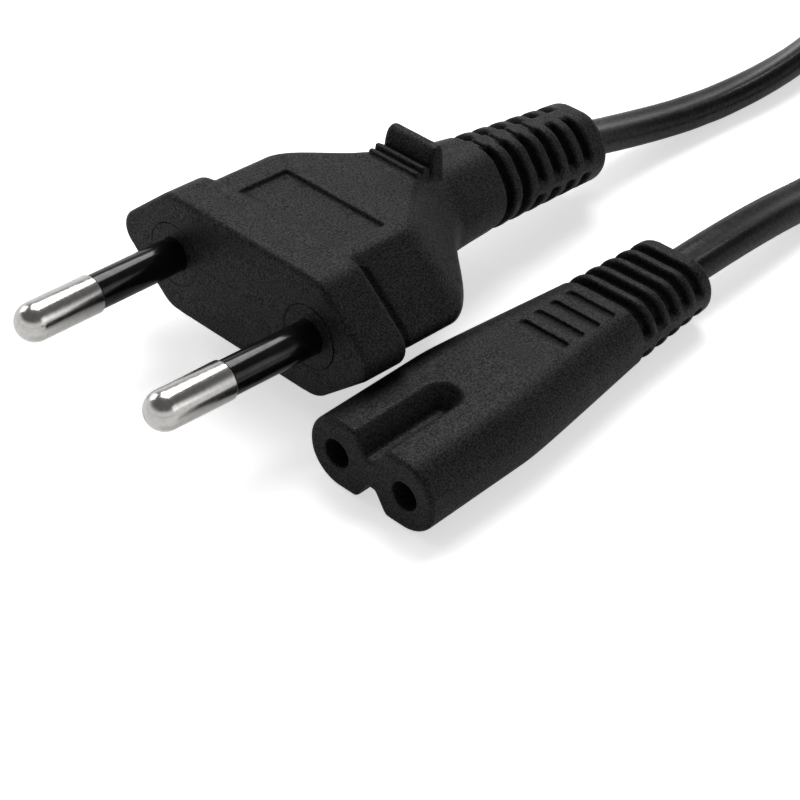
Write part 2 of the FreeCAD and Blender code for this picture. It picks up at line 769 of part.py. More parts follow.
def plug_boot_groove(index):
    """One groove round the boot: the first two run all round but for a thin side web,
    the others are split into four slots by webs above, below and at the sides."""
    middle = size.plug_groove_first.value + index * size.plug_groove_pitch.value
    width = size.plug_groove_width.value
    start = middle - width / 2
    outer = Part.Face(boot_section(start, -BEYOND))
    inner = Part.Face(boot_section(start, size.plug_groove_depth.value))
    ring = outer.cut(inner).extrude(Vector(0, width, 0))
    web = size.plug_web_width.value
    span = 2 * size.plug_boot_start_width.value
    if index > 1:
        ring = ring.cut(Part.makeBox(web, 2 * width, span,
                                     Vector(-web / 2, start - width / 2, -span / 2)))
    if index > 0:
        ring = ring.cut(Part.makeBox(span, 2 * width, web,
                                     Vector(-span / 2, start - width / 2, -web / 2)))
    return drooped(ring)


def finger_tab():
    """The raised tab for pulling the plug, with three stepped ribs in front of it."""
    half_width = size.tab_width.value / 2
    foot = size.tab_start.value
    top = size.tab_reach.value
    base = size.neck_height.value / 2 - 1.5
    surface = size.face_height.value / 2
    rear = foot + size.tab_thickness.value
    tab = side_profile([(foot - 0.1, base, 0), (foot, surface + 0.9, 0.3),
                        (foot + 0.6, top, 0.4), (rear - 0.5, top, 0.45), (rear, base, 0)],
                       half_width)
    upper_ends = [edge for edge in tab.Edges
                  if edge.BoundBox.XLength < 1e-4 and edge.BoundBox.ZMin > surface + 1.0]
    tab = tab.makeFillet(0.5, upper_ends)
    pieces = [tab]
    pitch = size.rib_pitch.value
    rise = size.rib_rise_height.value
    for index in range(3):
        rib_front = foot - (3.3 - index) * pitch
        rib_top = surface + (index + 0.2) * rise
        pieces.append(side_profile([
            (rib_front, base, 0), (rib_front, rib_top, 0.1),
            (rib_front + 0.6 * pitch, rib_top, 0.1), (rib_front + 0.6 * pitch, base, 0)],
            half_width))
        pieces.append(side_profile([
            (rib_front, base, 0), (rib_front, rib_top - 1.1 * rise, 0),
            (rib_front + 1.1 * pitch, rib_top - 1.1 * rise, 0), (rib_front + 1.1 * pitch, base, 0)],
            half_width))
    return pieces[0].fuse(pieces[1:]).removeSplitter()


def label_recess():
    """The bare label panel: level with the top at its front, a low wall at its rear."""
    top = size.face_height.value / 2
    corners = [(size.panel_front_start.value, top, 0), (size.panel_rear_end.value,
               top - size.panel_depth.value, 0), (size.panel_rear_end.value, top + BEYOND, 0),
               (size.panel_front_start.value, top + BEYOND, 0)]
    return side_profile(corners, size.panel_width.value / 2)


tab = finger_tab()
standing = flipped(tab)
standing.Placement = FreeCAD.Placement(Vector(0, 0, 0), PLUG_TURN)
PLUG = FreeCAD.Placement(
    Vector(size.plug_x.value, size.plug_y.value, -standing.optimalBoundingBox().ZMin), PLUG_TURN)
plug_blank = fused("plug_blank", [drawn("plug_hull", plug_hull()), drawn("tab_top", tab),
                                  drawn("tab_bottom", flipped(tab))])
cuts = [drawn("label_panel", label_recess())]
for index in range(6):
    cuts.append(drawn("plug_groove_%d" % (index + 1), plug_boot_groove(index)))

bridge_front = size.boss_length
bridge_rear = bridge_front + size.bridge_length
collar_rear = bridge_rear + size.collar_length
cup_rear = collar_rear + size.cup_length
pin_x = size.pin_spacing / 2


def leaning(thing, sign):
    """Lean a piece about the pin's foot at the face, its tip towards the middle."""
    lean = FreeCAD.Rotation(Vector(0, 0, 1), -sign * size.pin_toe_angle.value)
    placement = FreeCAD.Placement(Vector(sign * pin_x.value, 0, 0), lean)
    thing.Placement = placement.multiply(thing.Placement)
    return thing


def pin_rod(name, diameter, start, end, sign):
    """A round rod on a pin's leaning axis."""
    thing = doc.addObject("Part::Cylinder", name)
    bind(thing, Radius=as_size(diameter) / 2, Height=as_size(end) - start)
    thing.Placement = FreeCAD.Placement(Vector(0, as_size(start).value, 0), ALONG_Y)
    return leaning(thing, sign)


def bridge_bar(name, spare):
    """The bar that joins both pins, its long edges rounded."""
    bar = block(name + "_bar", size.bridge_width + spare * 2, size.bridge_height + spare * 2,
                bridge_front - spare, bridge_rear + spare)
    doc.recompute()
    eased = doc.addObject("Part::Fillet", name + "_eased")
    eased.Base = bar
    radius = size.bridge_edge_radius.value
    eased.Edges = [(number, radius, radius) for number, edge in enumerate(bar.Shape.Edges, 1)
                   if edge.BoundBox.YLength > size.bridge_length.value / 2]
    return eased


cavity = [bridge_bar("bridge_room", gap)]
for side, sign in SIDES:
    cavity.append(pin_rod("boss_room_" + side, size.boss_diameter + gap * 2,
                          -BEYOND, bridge_front + BEYOND + gap, sign))
    cavity.append(pin_rod("collar_room_" + side, size.collar_diameter + gap * 2,
                          bridge_rear, collar_rear + gap, sign))
    cavity.append(pin_rod("cup_room_" + side, size.cup_diameter + gap * 2,
                          collar_rear, cup_rear + gap, sign))

# a pin's lean moves its rear end outwards
pin_rear_spacing = size.pin_spacing + cup_rear * 2 * math.tan(math.radians(size.pin_toe_angle.value))
plug_core_start = cup_rear.value + 0.3
plug_first_bend = cup_rear.value + 2.2
for side, sign in SIDES:
    route = core_points(sign, pin_rear_spacing, plug_core_start - 0.3,
                        plug_first_bend, size.plug_jacket_start, 0.3)
    room = round_tube(route, size.core_diameter.value + 2 * gap.value, bend)
    cavity.append(drawn("plug_core_room_" + side, room))
cavity.append(drawn("plug_jacket_room", drooped(jacket_end(
    size.plug_jacket_start.value - gap.value, size.plug_length.value + BEYOND, gap.value))))
subpart(cut("plug_moulding", plug_blank, cuts + cavity), "plug_body", PLUG)

# Plug: bridge, pins, sleeves and wires

pieces = [bridge_bar("bridge", as_size(0.0))]
bores = []
for side, sign in SIDES:
    pieces.append(pin_rod("bridge_boss_" + side, size.boss_diameter, 0.0,
                          bridge_front + BEYOND, sign))
    bores.append(pin_rod("bridge_shank_bore_" + side, size.shank_diameter + gap * 2,
                         -BEYOND, bridge_rear + BEYOND, sign))
    bores.append(pin_rod("bridge_sleeve_bore_" + side, size.sleeve_diameter + gap * 2,
                         -BEYOND, size.sleeve_root_length + gap, sign))
subpart(cut("bridge_bored", fused("bridge_blank", pieces), bores), "pin_bridge", PLUG)

pin_radius = size.pin_diameter / 2
for side, sign in SIDES:
    tip = doc.addObject("Part::Sphere", "pin_tip_" + side)
    bind(tip, Radius=pin_radius)
    tip.Placement = FreeCAD.Placement(
        Vector(0, pin_radius.value - size.pin_length.value, 0), ALONG_Y)
    solids = [
        leaning(tip, sign),
        pin_rod("pin_bare_" + side, size.pin_diameter, pin_radius - size.pin_length,
                -size.sleeve_end_length, sign),
        pin_rod("pin_shank_" + side, size.shank_diameter, -size.sleeve_end_length - 0.5,
                bridge_rear + 0.5, sign),
        pin_rod("pin_collar_" + side, size.collar_diameter, bridge_rear + gap,
                collar_rear, sign),
        pin_rod("pin_cup_" + side, size.cup_diameter, collar_rear - 0.5, cup_rear, sign)]
    hollow = pin_rod("pin_cup_bore_" + side, size.strands_diameter + gap * 6,
                     collar_rear + 0.6, cup_rear + BEYOND, sign)
    subpart(cut("pin_solid_" + side, fused("pin_blank_" + side, solids), [hollow]),
            "pin_" + side, PLUG)
    sleeve = pin_rod("sleeve_outside_" + side, size.sleeve_diameter, -size.sleeve_end_length + gap,
                     size.sleeve_root_length, sign)
    sleeve_bore = pin_rod("sleeve_inside_" + side, size.shank_diameter + gap,
                          -size.sleeve_end_length - BEYOND, size.sleeve_root_length + BEYOND, sign)
    subpart(cut("sleeve_solid_" + side, sleeve, [sleeve_bore]), "pin_sleeve_" + side, PLUG)

wire_pair("plug", PLUG, pin_rear_spacing, collar_rear.value + 1.0, plug_core_start,
          plug_first_bend, size.plug_jacket_start)
subpart(drawn("plug_jacket_solid", drooped(jacket_end(
    size.plug_jacket_start.value + 0.1, size.plug_length.value, 0.0))), "plug_jacket_end", PLUG)

# Cord: both free stretches, the coil and its tie

floor_height = size.cord_thickness.value / 2
connector_exit = CONNECTOR.multVec(Vector(0, connector_length.value, 0))
plug_exit = PLUG.multiply(BOOT).multVec(Vector(0, size.plug_length.value, 0))
plug_lead = PLUG.multiply(BOOT).multVec(Vector(0, size.plug_length.value + 11.0, 0))

CONNECTOR_ROUTE = [
    tuple(connector_exit),
    (0.0, 34.0, connector_exit.z),
    (-0.3, 50.0, floor_height),
    (1.0, 67.0, floor_height),
    (8.5, 86.0, floor_height),
    (19.08, 101.5, floor_height),
]
PLUG_ROUTE = [
    tuple(plug_exit),
    tuple(plug_lead),
    (-20.9, 53.0, floor_height),
    (-19.0, 63.0, floor_height),
    (-19.3, 74.0, floor_height),
    (-22.2, 84.5, 2.6),
    (-34.11, 100.14, 7.8),
]

ring_half = size.coil_turns_across * size.turn_spacing / 2
coil_height = size.coil_layers * size.layer_spacing
coil_outer = size.coil_radius + ring_half
coil_inner = size.coil_radius - ring_half
coil_centre = Vector(size.coil_x.value, size.coil_y.value, 0)


def coil_cylinder(radius, height, base=0.0):
    """A solid disc on the coil's axis."""
    return Part.makeCylinder(radius, height, coil_centre + Vector(0, 0, base))


coil_envelope = coil_cylinder(coil_outer.value, coil_height.value * 3, -BEYOND)
subpart(drawn("connector_cord", flat_cord(CONNECTOR_ROUTE, "connector side").cut(coil_envelope)),
        "cord_connector_side", FreeCAD.Placement())
subpart(drawn("plug_cord", flat_cord(PLUG_ROUTE, "plug side").cut(coil_envelope)),
        "cord_plug_side", FreeCAD.Placement())

tie_wall = size.tie_wall_thickness.value
tie_width = size.tie_width.value
tie_across = 2 * ring_half.value + 0.4
tie_corner = coil_centre + Vector(-tie_width / 2, size.coil_radius.value - tie_across / 2, 0)


def tie_box(spare):
    """A box round the coil's section at its far side, larger by spare."""
    corner = tie_corner + Vector(0, -spare, tie_wall - spare)
    return Part.makeBox(tie_width, tie_across + 2 * spare, coil_height.value + 2 * spare, corner)


tie_outside = tie_box(tie_wall)
long_edges = [edge for edge in tie_outside.Edges if edge.BoundBox.XLength > tie_width / 2]
tie_outside = tie_outside.makeFillet(1.2, long_edges)
tie_inside = tie_box(0.0)
band = tie_outside.cut(tie_inside)
ring = coil_cylinder(coil_outer.value, coil_height.value).cut(
    coil_cylinder(coil_inner.value, coil_height.value))
ring_edges = [edge for edge in ring.Edges if edge.Length > coil_inner.value * 3]
ring = ring.makeFillet(1.2, ring_edges)
tie_space = Part.makeBox(tie_width, coil_outer.value * 2, tie_wall,
                         coil_centre + Vector(-tie_width / 2, 0, 0))
subpart(drawn("coil_ring", ring.cut(tie_space).cut(band)), "cord_coil", FreeCAD.Placement())
subpart(drawn("tie_band", band), "cord_tie", FreeCAD.Placement())

# Check every object, then write each piece

doc.recompute()
print("plug lies at", [round(number, 4) for number in PLUG.Base])
print("plug exit", [round(number, 4) for number in plug_exit],
      "lead", [round(number, 4) for number in plug_lead])
for thing in doc.Objects:
    if "Invalid" in thing.State or "Error" in thing.State:
        raise RuntimeError("%s did not build: %s" % (thing.Label, thing.State))
for piece in SUBPARTS:
    shape = piece.Shape
    if shape.isNull() or not shape.isValid():
        raise RuntimeError("%s has no valid shape" % piece.Label)
    if len(shape.Solids) != 1:
        raise RuntimeError("%s holds %d solids" % (piece.Label, len(shape.Solids)))
    shape.exportStep("parts/%s.step" % piece.Label)
    print("%-26s volume %9.1f  box %s" % (piece.Label, shape.Volume, [
        round(value, 2) for value in (shape.BoundBox.XMin, shape.BoundBox.YMin,
                                      shape.BoundBox.ZMin, shape.BoundBox.XMax,
                                      shape.BoundBox.YMax, shape.BoundBox.ZMax)]))
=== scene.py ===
import math
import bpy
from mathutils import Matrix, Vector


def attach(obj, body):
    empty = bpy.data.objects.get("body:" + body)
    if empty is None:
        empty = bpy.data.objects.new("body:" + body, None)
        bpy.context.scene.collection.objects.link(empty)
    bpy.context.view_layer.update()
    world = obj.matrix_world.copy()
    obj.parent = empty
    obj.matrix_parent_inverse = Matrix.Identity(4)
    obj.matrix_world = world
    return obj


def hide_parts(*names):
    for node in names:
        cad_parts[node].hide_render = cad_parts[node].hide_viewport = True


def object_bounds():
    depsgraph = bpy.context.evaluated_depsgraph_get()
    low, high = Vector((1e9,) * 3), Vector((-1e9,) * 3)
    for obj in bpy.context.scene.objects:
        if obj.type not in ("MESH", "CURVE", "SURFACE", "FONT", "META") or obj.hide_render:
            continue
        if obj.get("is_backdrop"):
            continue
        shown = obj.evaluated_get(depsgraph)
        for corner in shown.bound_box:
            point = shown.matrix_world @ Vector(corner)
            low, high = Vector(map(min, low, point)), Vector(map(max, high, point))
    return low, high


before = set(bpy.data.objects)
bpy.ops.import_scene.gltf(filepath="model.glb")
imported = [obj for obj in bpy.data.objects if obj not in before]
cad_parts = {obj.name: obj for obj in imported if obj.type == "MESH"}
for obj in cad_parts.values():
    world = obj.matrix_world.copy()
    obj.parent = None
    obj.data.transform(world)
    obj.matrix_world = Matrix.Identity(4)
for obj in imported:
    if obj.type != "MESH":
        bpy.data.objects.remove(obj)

import types

import bpy
import numpy as np
from mathutils import Vector

bounds_at_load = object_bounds()

# A mains lead: a figure eight connector, a flat twin cord and a two pin plug.
# Settings are in metres. Shapes are worked out in millimetres in a piece's own frame:
# the connector's and the plug's Y runs from the mouth or the face towards the cord.

bl_info = {
    "name": "Figure eight mains lead",
    "version": (1, 0, 0),
    "blender": (4, 5, 0),
    "location": "3D View > Sidebar > Mains lead",
    "description": "Builds a mains lead with its moulded connector, plug and cord",
    "category": "Object",
}

MILLIMETRE = 0.001


def length(name, description, default):
    """A setting that is a length."""
    return bpy.props.FloatProperty(
        name=name, description=description, default=default, min=0.0, unit="LENGTH", precision=5)


def angle(name, description, degrees):
    """A setting that is an angle."""
    return bpy.props.FloatProperty(
        name=name, description=description, default=math.radians(degrees), subtype="ANGLE")


def number(name, description, default):
    """A setting that is a plain number."""
    return bpy.props.FloatProperty(
        name=name, description=description, default=default, min=0.0, max=10.0)


def colour(name, description, default):
    """A setting that is a colour."""
    return bpy.props.FloatVectorProperty(
        name=name, description=description, default=default, size=3, subtype="COLOR",
        min=0.0, max=1.0)


class ConnectorSettings(bpy.types.PropertyGroup):
    """Sizes of the figure eight connector."""

    nose_width: length("Nose width", "Figure eight nose, side to side", 0.0157)
    nose_height: length("Nose height", "Figure eight nose, top to bottom", 0.0078)
    nose_straight: length("Nose length", "Length over which the nose keeps its width", 0.013)
    waist_width: length("Waist width", "Body where the boot starts", 0.0117)
    waist_height: length("Waist height", "Body height where the boot starts", 0.007)
    boot_start: length("Boot start", "Mouth to the start of the boot", 0.0316)
    total: length("Length", "Mouth to the end of the boot", 0.044)
    boot_width: length("Boot width", "Boot width at the cord", 0.010)
    boot_height: length("Boot height", "Boot height at the cord", 0.0064)
    edge: length("Edge", "Rounding of the mouth's edge", 0.0005)
    groove_first: length("First groove", "Mouth to the middle of the first groove", 0.0329)
    groove_pitch: length("Groove pitch", "Groove to groove", 0.0022)
    groove_width: length("Groove width", "Width of one groove", 0.00122)
    groove_depth: length("Groove depth", "Depth of one groove", 0.0011)
    web: length("Side web", "Height of the web along each side of the boot", 0.0015)
    notch_mouth: length("Notch mouth", "Width of the notch at the surface", 0.0039)
    notch_floor: length("Notch floor", "Width of the notch at its floor", 0.0011)
    notch_depth: length("Notch depth", "Depth of the notch", 0.0023)
    notch_length: length("Notch length", "To the centre of its round end", 0.0094)
    grip_first: length("First thumb step", "Mouth to the first thumb step", 0.023)
    grip_pitch: length("Thumb step pitch", "Thumb step to thumb step", 0.0023)
    grip_width: length("Thumb step width", "Width of a thumb step", 0.0058)
    grip_aside: length("Thumb step aside", "How far the thumb steps sit to the right", 0.00025)
    grip_depth: length("Thumb step depth", "Depth of a thumb step", 0.0004)
    grip_length: length("Thumb step length", "Length of a thumb step", 0.0012)
    socket_spacing: length("Socket spacing", "Socket to socket", 0.0086)
    socket_diameter: length("Socket hole", "Hole in the mouth", 0.003)
    contact_room: length("Contact room", "Hollow round a contact", 0.00344)
    mouth_wall: length("Mouth wall", "Moulding in front of the contacts", 0.0022)
    hollow_end: length("Hollow end", "Mouth to the end of the hollow", 0.0126)


class PlugSettings(bpy.types.PropertyGroup):
    """Sizes and place of the two pin plug."""

    face_width: length("Face width", "Plug face, side to side", 0.0348)
    face_height: length("Face height", "Plug face, top to bottom", 0.0132)
    face_flat: length("Face flat", "Width of the flat top before rounding", 0.0214)
    face_nose: length("Side corner", "Radius of the face's side corners", 0.0022)
    face_corner: length("Upper corner", "Radius of the upper and lower corners", 0.0032)
    edge: length("Edge", "Rounding of the face's edge", 0.0005)
    skirt_depth: length("Skirt depth", "Length of the wider front section", 0.0053)
    skirt_step: length("Skirt step", "Step from the front section down to the body", 0.001)
    cove: length("Cove", "Radius of the cove behind the front section", 0.0006)
    straight: length("Straight part", "Face to the start of the shoulders", 0.0123)
    shoulder_end: length("Shoulder end", "Face to the end of the shoulders", 0.025)
    neck_width: length("Neck width", "Neck behind the shoulders", 0.0128)
    neck_height: length("Neck height", "Neck behind the shoulders", 0.0102)
    neck_flat: length("Neck flat", "Flat top of the neck before rounding", 0.0072)
    boot_start: length("Boot start", "Face to the start of the boot", 0.0316)
    boot_start_width: length("Boot start width", "Boot width at its start", 0.0114)
    boot_start_height: length("Boot start height", "Boot height at its start", 0.0097)
    total: length("Length", "Face to the end of the boot", 0.0488)
    boot_width: length("Boot width", "Boot width at the cord", 0.010)
    boot_height: length("Boot height", "Boot height at the cord", 0.0084)
    boot_flat: length("Boot flat", "Flat top of the boot before rounding", 0.0056)
    boot_nose: length("Boot side", "Radius of the boot's sides", 0.0038)
    boot_corner: length("Boot corner", "Radius of the boot's corners", 0.0034)
    groove_first: length("First groove", "Face to the middle of the first groove", 0.0324)
    groove_pitch: length("Groove pitch", "Groove to groove", 0.00256)
    groove_width: length("Groove width", "Width of one groove", 0.00125)
    groove_depth: length("Groove depth", "Depth of one groove", 0.00125)
    web: length("Side web", "Height of the webs along the boot's sides", 0.0013)
    top_web: length("Top web", "Width of the webs above and below", 0.0019)
    panel_width: length("Panel width", "Label recess, side to side", 0.0137)
    panel_front: length("Panel front", "Face to the front of the label recess", 0.0051)
    panel_rear: length("Panel rear", "Face to the rear of the label recess", 0.01175)
    panel_aside: length("Panel aside", "How far the label recess sits to the right", 0.00065)
    panel_depth: length("Panel depth", "Depth of the label recess", 0.00045)
    tab_width: length("Tab width", "Finger tab, side to side", 0.0068)
    tab_start: length("Tab start", "Face to the foot of the finger tab", 0.0223)
    tab_reach: length("Tab reach", "Pin axis plane to the top of the tab", 0.0088)
    tab_thickness: length("Tab thickness", "Finger tab at its foot", 0.0023)
    rib_pitch: length("Rib pitch", "Rib to rib in front of the tab", 0.0009)
    rib_rise: length("Rib rise", "How much higher each rib stands", 0.00029)
    pin_spacing: length("Pin spacing", "Pin to pin at the face", 0.0192)
    pin_toe: angle("Pin toe", "How far each pin leans inwards", 0.8)
    pin_diameter: length("Pin diameter", "Bare end of a pin", 0.004)
    pin_length: length("Pin length", "Face to the tip of a pin", 0.0193)
    sleeve_end: length("Sleeve end", "Face to the end of the sleeve", 0.0104)
    sleeve_diameter: length("Sleeve diameter", "Outside of a sleeve", 0.0036)
    shank_diameter: length("Shank diameter", "Pin under its sleeve", 0.003)
    boss_diameter: length("Boss diameter", "Bridge boss round a pin", 0.0066)
    droop_from: length("Bend start", "Face to the start of the boot's bend", 0.0245)
    droop_to: length("Bend end", "Face to the end of the boot's bend", 0.0295)
    droop: angle("Boot droop", "How far the boot hangs down", 3.7)
    lean: angle("Lean", "How far the plug slopes down towards its cord", 3.2)
    turn: angle("Turn", "How far the plug is turned to the right", 0.7)
    place: bpy.props.FloatVectorProperty(
        name="Place", description="Middle of the plug's face", size=3, unit="LENGTH",
        default=(-0.0225, -0.0169, 0.0101095))


class CordSettings(bpy.types.PropertyGroup):
    """Sizes of the flat twin cord, its coil and its tie."""

    width: length("Width", "Flat twin cord, side to side", 0.005)
    thickness: length("Thickness", "Flat twin cord, top to bottom", 0.003)
    valley: length("Valley", "Depth of the shallow valley between the cores", 0.00013)
    ring_spacing: length("Ring spacing", "Section to section along the cord", 0.0011)
    around: bpy.props.IntProperty(
        name="Around", description="Points round one section", default=36, min=12)
    plug_roll: angle("Roll", "How far the cord rolls where it leaves the plug", 2.0)
    lean_aside: length("Lean aside", "How far the cord leans to the right behind the plug", 0.00065)
    lean_middle: length("Lean middle", "Plug to where the cord leans most", 0.020)
    lean_reach: length("Lean reach", "From there to where the lean fades", 0.009)
    fall_reach: length("Fall reach", "Plug to where the cord comes to the floor", 0.027)
    coil_x: bpy.props.FloatProperty(
        name="Coil X", description="Coil centre", default=-0.008, unit="LENGTH")
    coil_y: bpy.props.FloatProperty(
        name="Coil Y", description="Coil centre", default=0.120, unit="LENGTH")
    coil_radius: length("Coil radius", "Middle of the coil's turns", 0.028)
    turn_spacing: length("Turn spacing", "Turn to turn, side by side", 0.0032)
    layer_spacing: length("Layer spacing", "Turn to turn, one above the other", 0.0053)
    tie_width: length("Tie width", "Tie round the coil, along the cord", 0.006)
    tie_wall: length("Tie wall", "Thickness of the tie", 0.0008)


class FinishSettings(bpy.types.PropertyGroup):
    """Colours of the lead's materials."""

    moulding: colour("Moulding", "Moulded PVC of both ends", (0.0115, 0.0115, 0.0118))
    jacket: colour("Jacket", "PVC jacket of the cord", (0.0055, 0.0055, 0.0057))
    sleeve: colour("Sleeve", "Hard glossy pin sleeves", (0.004, 0.004, 0.0042))
    nickel: colour("Nickel", "Plated pins", (0.52, 0.51, 0.495))
    brass: colour("Brass", "Contacts", (0.72, 0.50, 0.19))
    copper: colour("Copper", "Strands", (0.76, 0.35, 0.19))
    insert: colour("Insert", "Hard insert round the contacts", (0.02, 0.02, 0.021))
    brown: colour("Brown", "Insulation of one core", (0.13, 0.055, 0.022))
    blue: colour("Blue", "Insulation of the other core", (0.015, 0.09, 0.32))
    tie: colour("Tie", "Tie round the coil", (0.015, 0.015, 0.016))


class StageSettings(bpy.types.PropertyGroup):
    """Camera and light."""

    lens: bpy.props.FloatProperty(
        name="Lens", description="Focal length in millimetres", default=99.0, min=1.0)
    camera_place: bpy.props.FloatVectorProperty(
        name="Camera", description="Where the camera stands", size=3, unit="LENGTH",
        default=(0.10794, -0.12905, 0.13305))
    camera_bearing: angle("Bearing", "Direction of view, from +Y towards -X", 44.2)
    camera_elevation: angle("Elevation", "How far the camera looks down", 38.4)
    world_level: number("World", "Even light from all round", 0.18)
    floor_size: length("Floor", "Side of the floor", 6.0)


SETTINGS = (
    ("lead_connector", ConnectorSettings), ("lead_plug", PlugSettings),
    ("lead_cord", CordSettings), ("lead_finish", FinishSettings), ("lead_stage", StageSettings))


def sizes_of(settings):
    """A group's settings as plain numbers, its lengths in millimetres."""
    found = types.SimpleNamespace()
    for name, prop in settings.bl_rna.properties.items():
        if name in ("rna_type", "name"):
            continue
        value = getattr(settings, name)
        if getattr(prop, "unit", "NONE") == "LENGTH":
            is_row = getattr(prop, "is_array", False)
            value = np.array(value) / MILLIMETRE if is_row else value / MILLIMETRE
        setattr(found, name, value)
    return found


# Distances, and how they are joined. The last number given to soft_max, join and carve is
# the width in millimetres over which the meeting of the two is eased.

EDGE_EASE = 1.2  # that width for a rounded edge, in radii of the edge
CORD_HOLE = (2.6, 1.6, 1.5)  # half width and half height, 0.1 mm clear, and corner radius


def ease(share):
    """A smooth step: three times the square less twice the cube, held between 0 and 1."""
    share = np.clip(share, 0.0, 1.0)
    return share * share * (3.0 - 2.0 * share)


def between(first, last, share):
    """The value a share of the way from first to last."""
    return first + (last - first) * share


def soft_start(share):
    """From 0 to 1 along a straight slope that starts with a soft bend: a hyperbola."""
    bend = 0.12
    share = np.clip(share, 0.0, 1.0)
    return (np.hypot(share, bend) - bend) / (math.hypot(1.0, bend) - bend)


def soft_max(first, second, width):
    """The larger of two distances, plus a parabola where they differ by less than width."""
    near = np.maximum(width - np.abs(first - second), 0.0) / width
    return np.maximum(first, second) + near * near * width * 0.25


def join(first, second, width):
    """Two solids as one, with a small hollow fillet where they meet."""
    return -soft_max(-first, -second, width)


def carve(solid, tool, width):
    """A solid less a tool, with the edge between them eased."""
    return soft_max(solid, -tool, width)


def round_corner(first, second, cosine, radius):
    """Two flat faces joined by an arc.

    With both faces moved in by the radius, a point past their corner lies as far out as
    its distance from that corner less the radius, and any other point as far as the
    nearer face.
    """
    a = first + radius
    b = second + radius
    away = np.sqrt(np.maximum(a * a + b * b - 2 * a * b * cosine, 0) / (1 - cosine * cosine))
    past = (a > b * cosine) & (b > a * cosine)
    return np.where(past, away - radius, np.maximum(first, second))


def rounded_box(across, up, half_width, half_height, radius):
    """Distance from a rectangle with round corners."""
    a = np.abs(across) - (half_width - radius)
    b = np.abs(up) - (half_height - radius)
    outside = np.hypot(np.maximum(a, 0.0), np.maximum(b, 0.0))
    return outside + np.minimum(np.maximum(a, b), 0.0) - radius


def six_sided(x, z, half_width, half_height, flat, nose, corner):
    """Distance from the plug's section: a flat top and bottom and two sloping flanks that
    meet in a round nose on each side."""
    lean = nose / half_height
    inner = half_width - nose - flat
    root = inner ** 2 - (1 - lean ** 2) * (inner ** 2 - nose ** 2)
    run = (inner + np.sqrt(root)) / (1 - lean ** 2)
    side = np.hypot(run, half_height)
    out = (np.abs(x) - flat) * half_height
    upper = (out + (z - half_height) * run) / side
    lower = (out - (z + half_height) * run) / side
    top = np.abs(z) - half_height
    shoulder = round_corner(top, np.maximum(upper, lower), run / side, corner)
    point = round_corner(upper, lower, (half_height ** 2 - run ** 2) / side ** 2, nose)
    return np.maximum(shoulder, point)


def nearest_in_row(y, first, pitch, count):
    """Which of a row of like features is nearest, and the way along from its middle."""
    index = np.clip(np.round((y - first) / pitch), 0, count - 1)
    return index, y - first - index * pitch


def cord_hole(x, y, z, s, depth):
    """Distance from the hole for the cord, which is let into the end of a boot."""
    return np.maximum(rounded_box(x, z, *CORD_HOLE), s.total - depth - y)


def connector_distance(x, y, z, s):
    """Signed distance from the connector's moulding: a rectangle with all but half round
    sides that keeps its size along the nose, draws in along the flanks and tapers along the
    boot, less its notches, sockets, grooves and thumb steps."""
    roundness = 0.97
    grip_shift = 0.85
    grip_corner = 0.35
    draw_in = soft_start((y - s.nose_straight) / (s.boot_start - s.nose_straight))
    taper = np.clip((y - s.boot_start) / (s.total - s.boot_start), 0.0, 1.0)
    half_width = between(between(s.nose_width, s.waist_width, draw_in), s.boot_width, taper) / 2
    half_height = between(between(s.nose_height, s.waist_height, draw_in),
                          s.boot_height, taper) / 2
    section = rounded_box(x, z, half_width, half_height, roundness * half_height)
    solid = soft_max(section, -y, EDGE_EASE * s.edge)
    solid = soft_max(solid, y - s.total, EDGE_EASE * s.edge)

    floor = s.nose_height / 2 - s.notch_depth
    slope = (s.notch_mouth - s.notch_floor) / 2 / s.notch_depth
    rise = np.abs(z) - floor
    reach = np.hypot(x, np.maximum(y - s.notch_length, 0.0))
    wall = (reach - s.notch_floor / 2 - slope * rise) / math.hypot(1.0, slope)
    solid = carve(solid, soft_max(-rise, wall, 0.25), 0.35)

    along = nearest_in_row(y, s.groove_first, s.groove_pitch, 5)[1]
    groove = soft_max(np.abs(along) - s.groove_width / 2, -(section + s.groove_depth), 0.4)
    solid = carve(solid, soft_max(groove, s.web / 2 - np.abs(z), 0.3), 0.38)

    middle = s.grip_first + grip_shift - s.grip_length / 2
    along = nearest_in_row(y, middle, s.grip_pitch, 4)[1]
    depth = s.grip_depth * np.clip(along / s.grip_length + 0.5, 0.0, 1.0)
    step = rounded_box(x - s.grip_aside, along, s.grip_width / 2, s.grip_length / 2,
                       grip_corner)
    solid = carve(solid, np.maximum(step, half_height - depth - z), 0.05)

    bore = np.hypot(np.abs(x) - s.socket_spacing / 2, z)
    hole = np.maximum(bore - s.socket_diameter / 2, y - s.mouth_wall)
    room = np.maximum(bore - s.contact_room / 2,
                      np.maximum(s.mouth_wall - y, y - s.hollow_end))
    solid = carve(solid, hole, 0.2)
    solid = carve(solid, room, 0.05)
    return carve(solid, cord_hole(x, y, z, s, 0.8), 0.25)


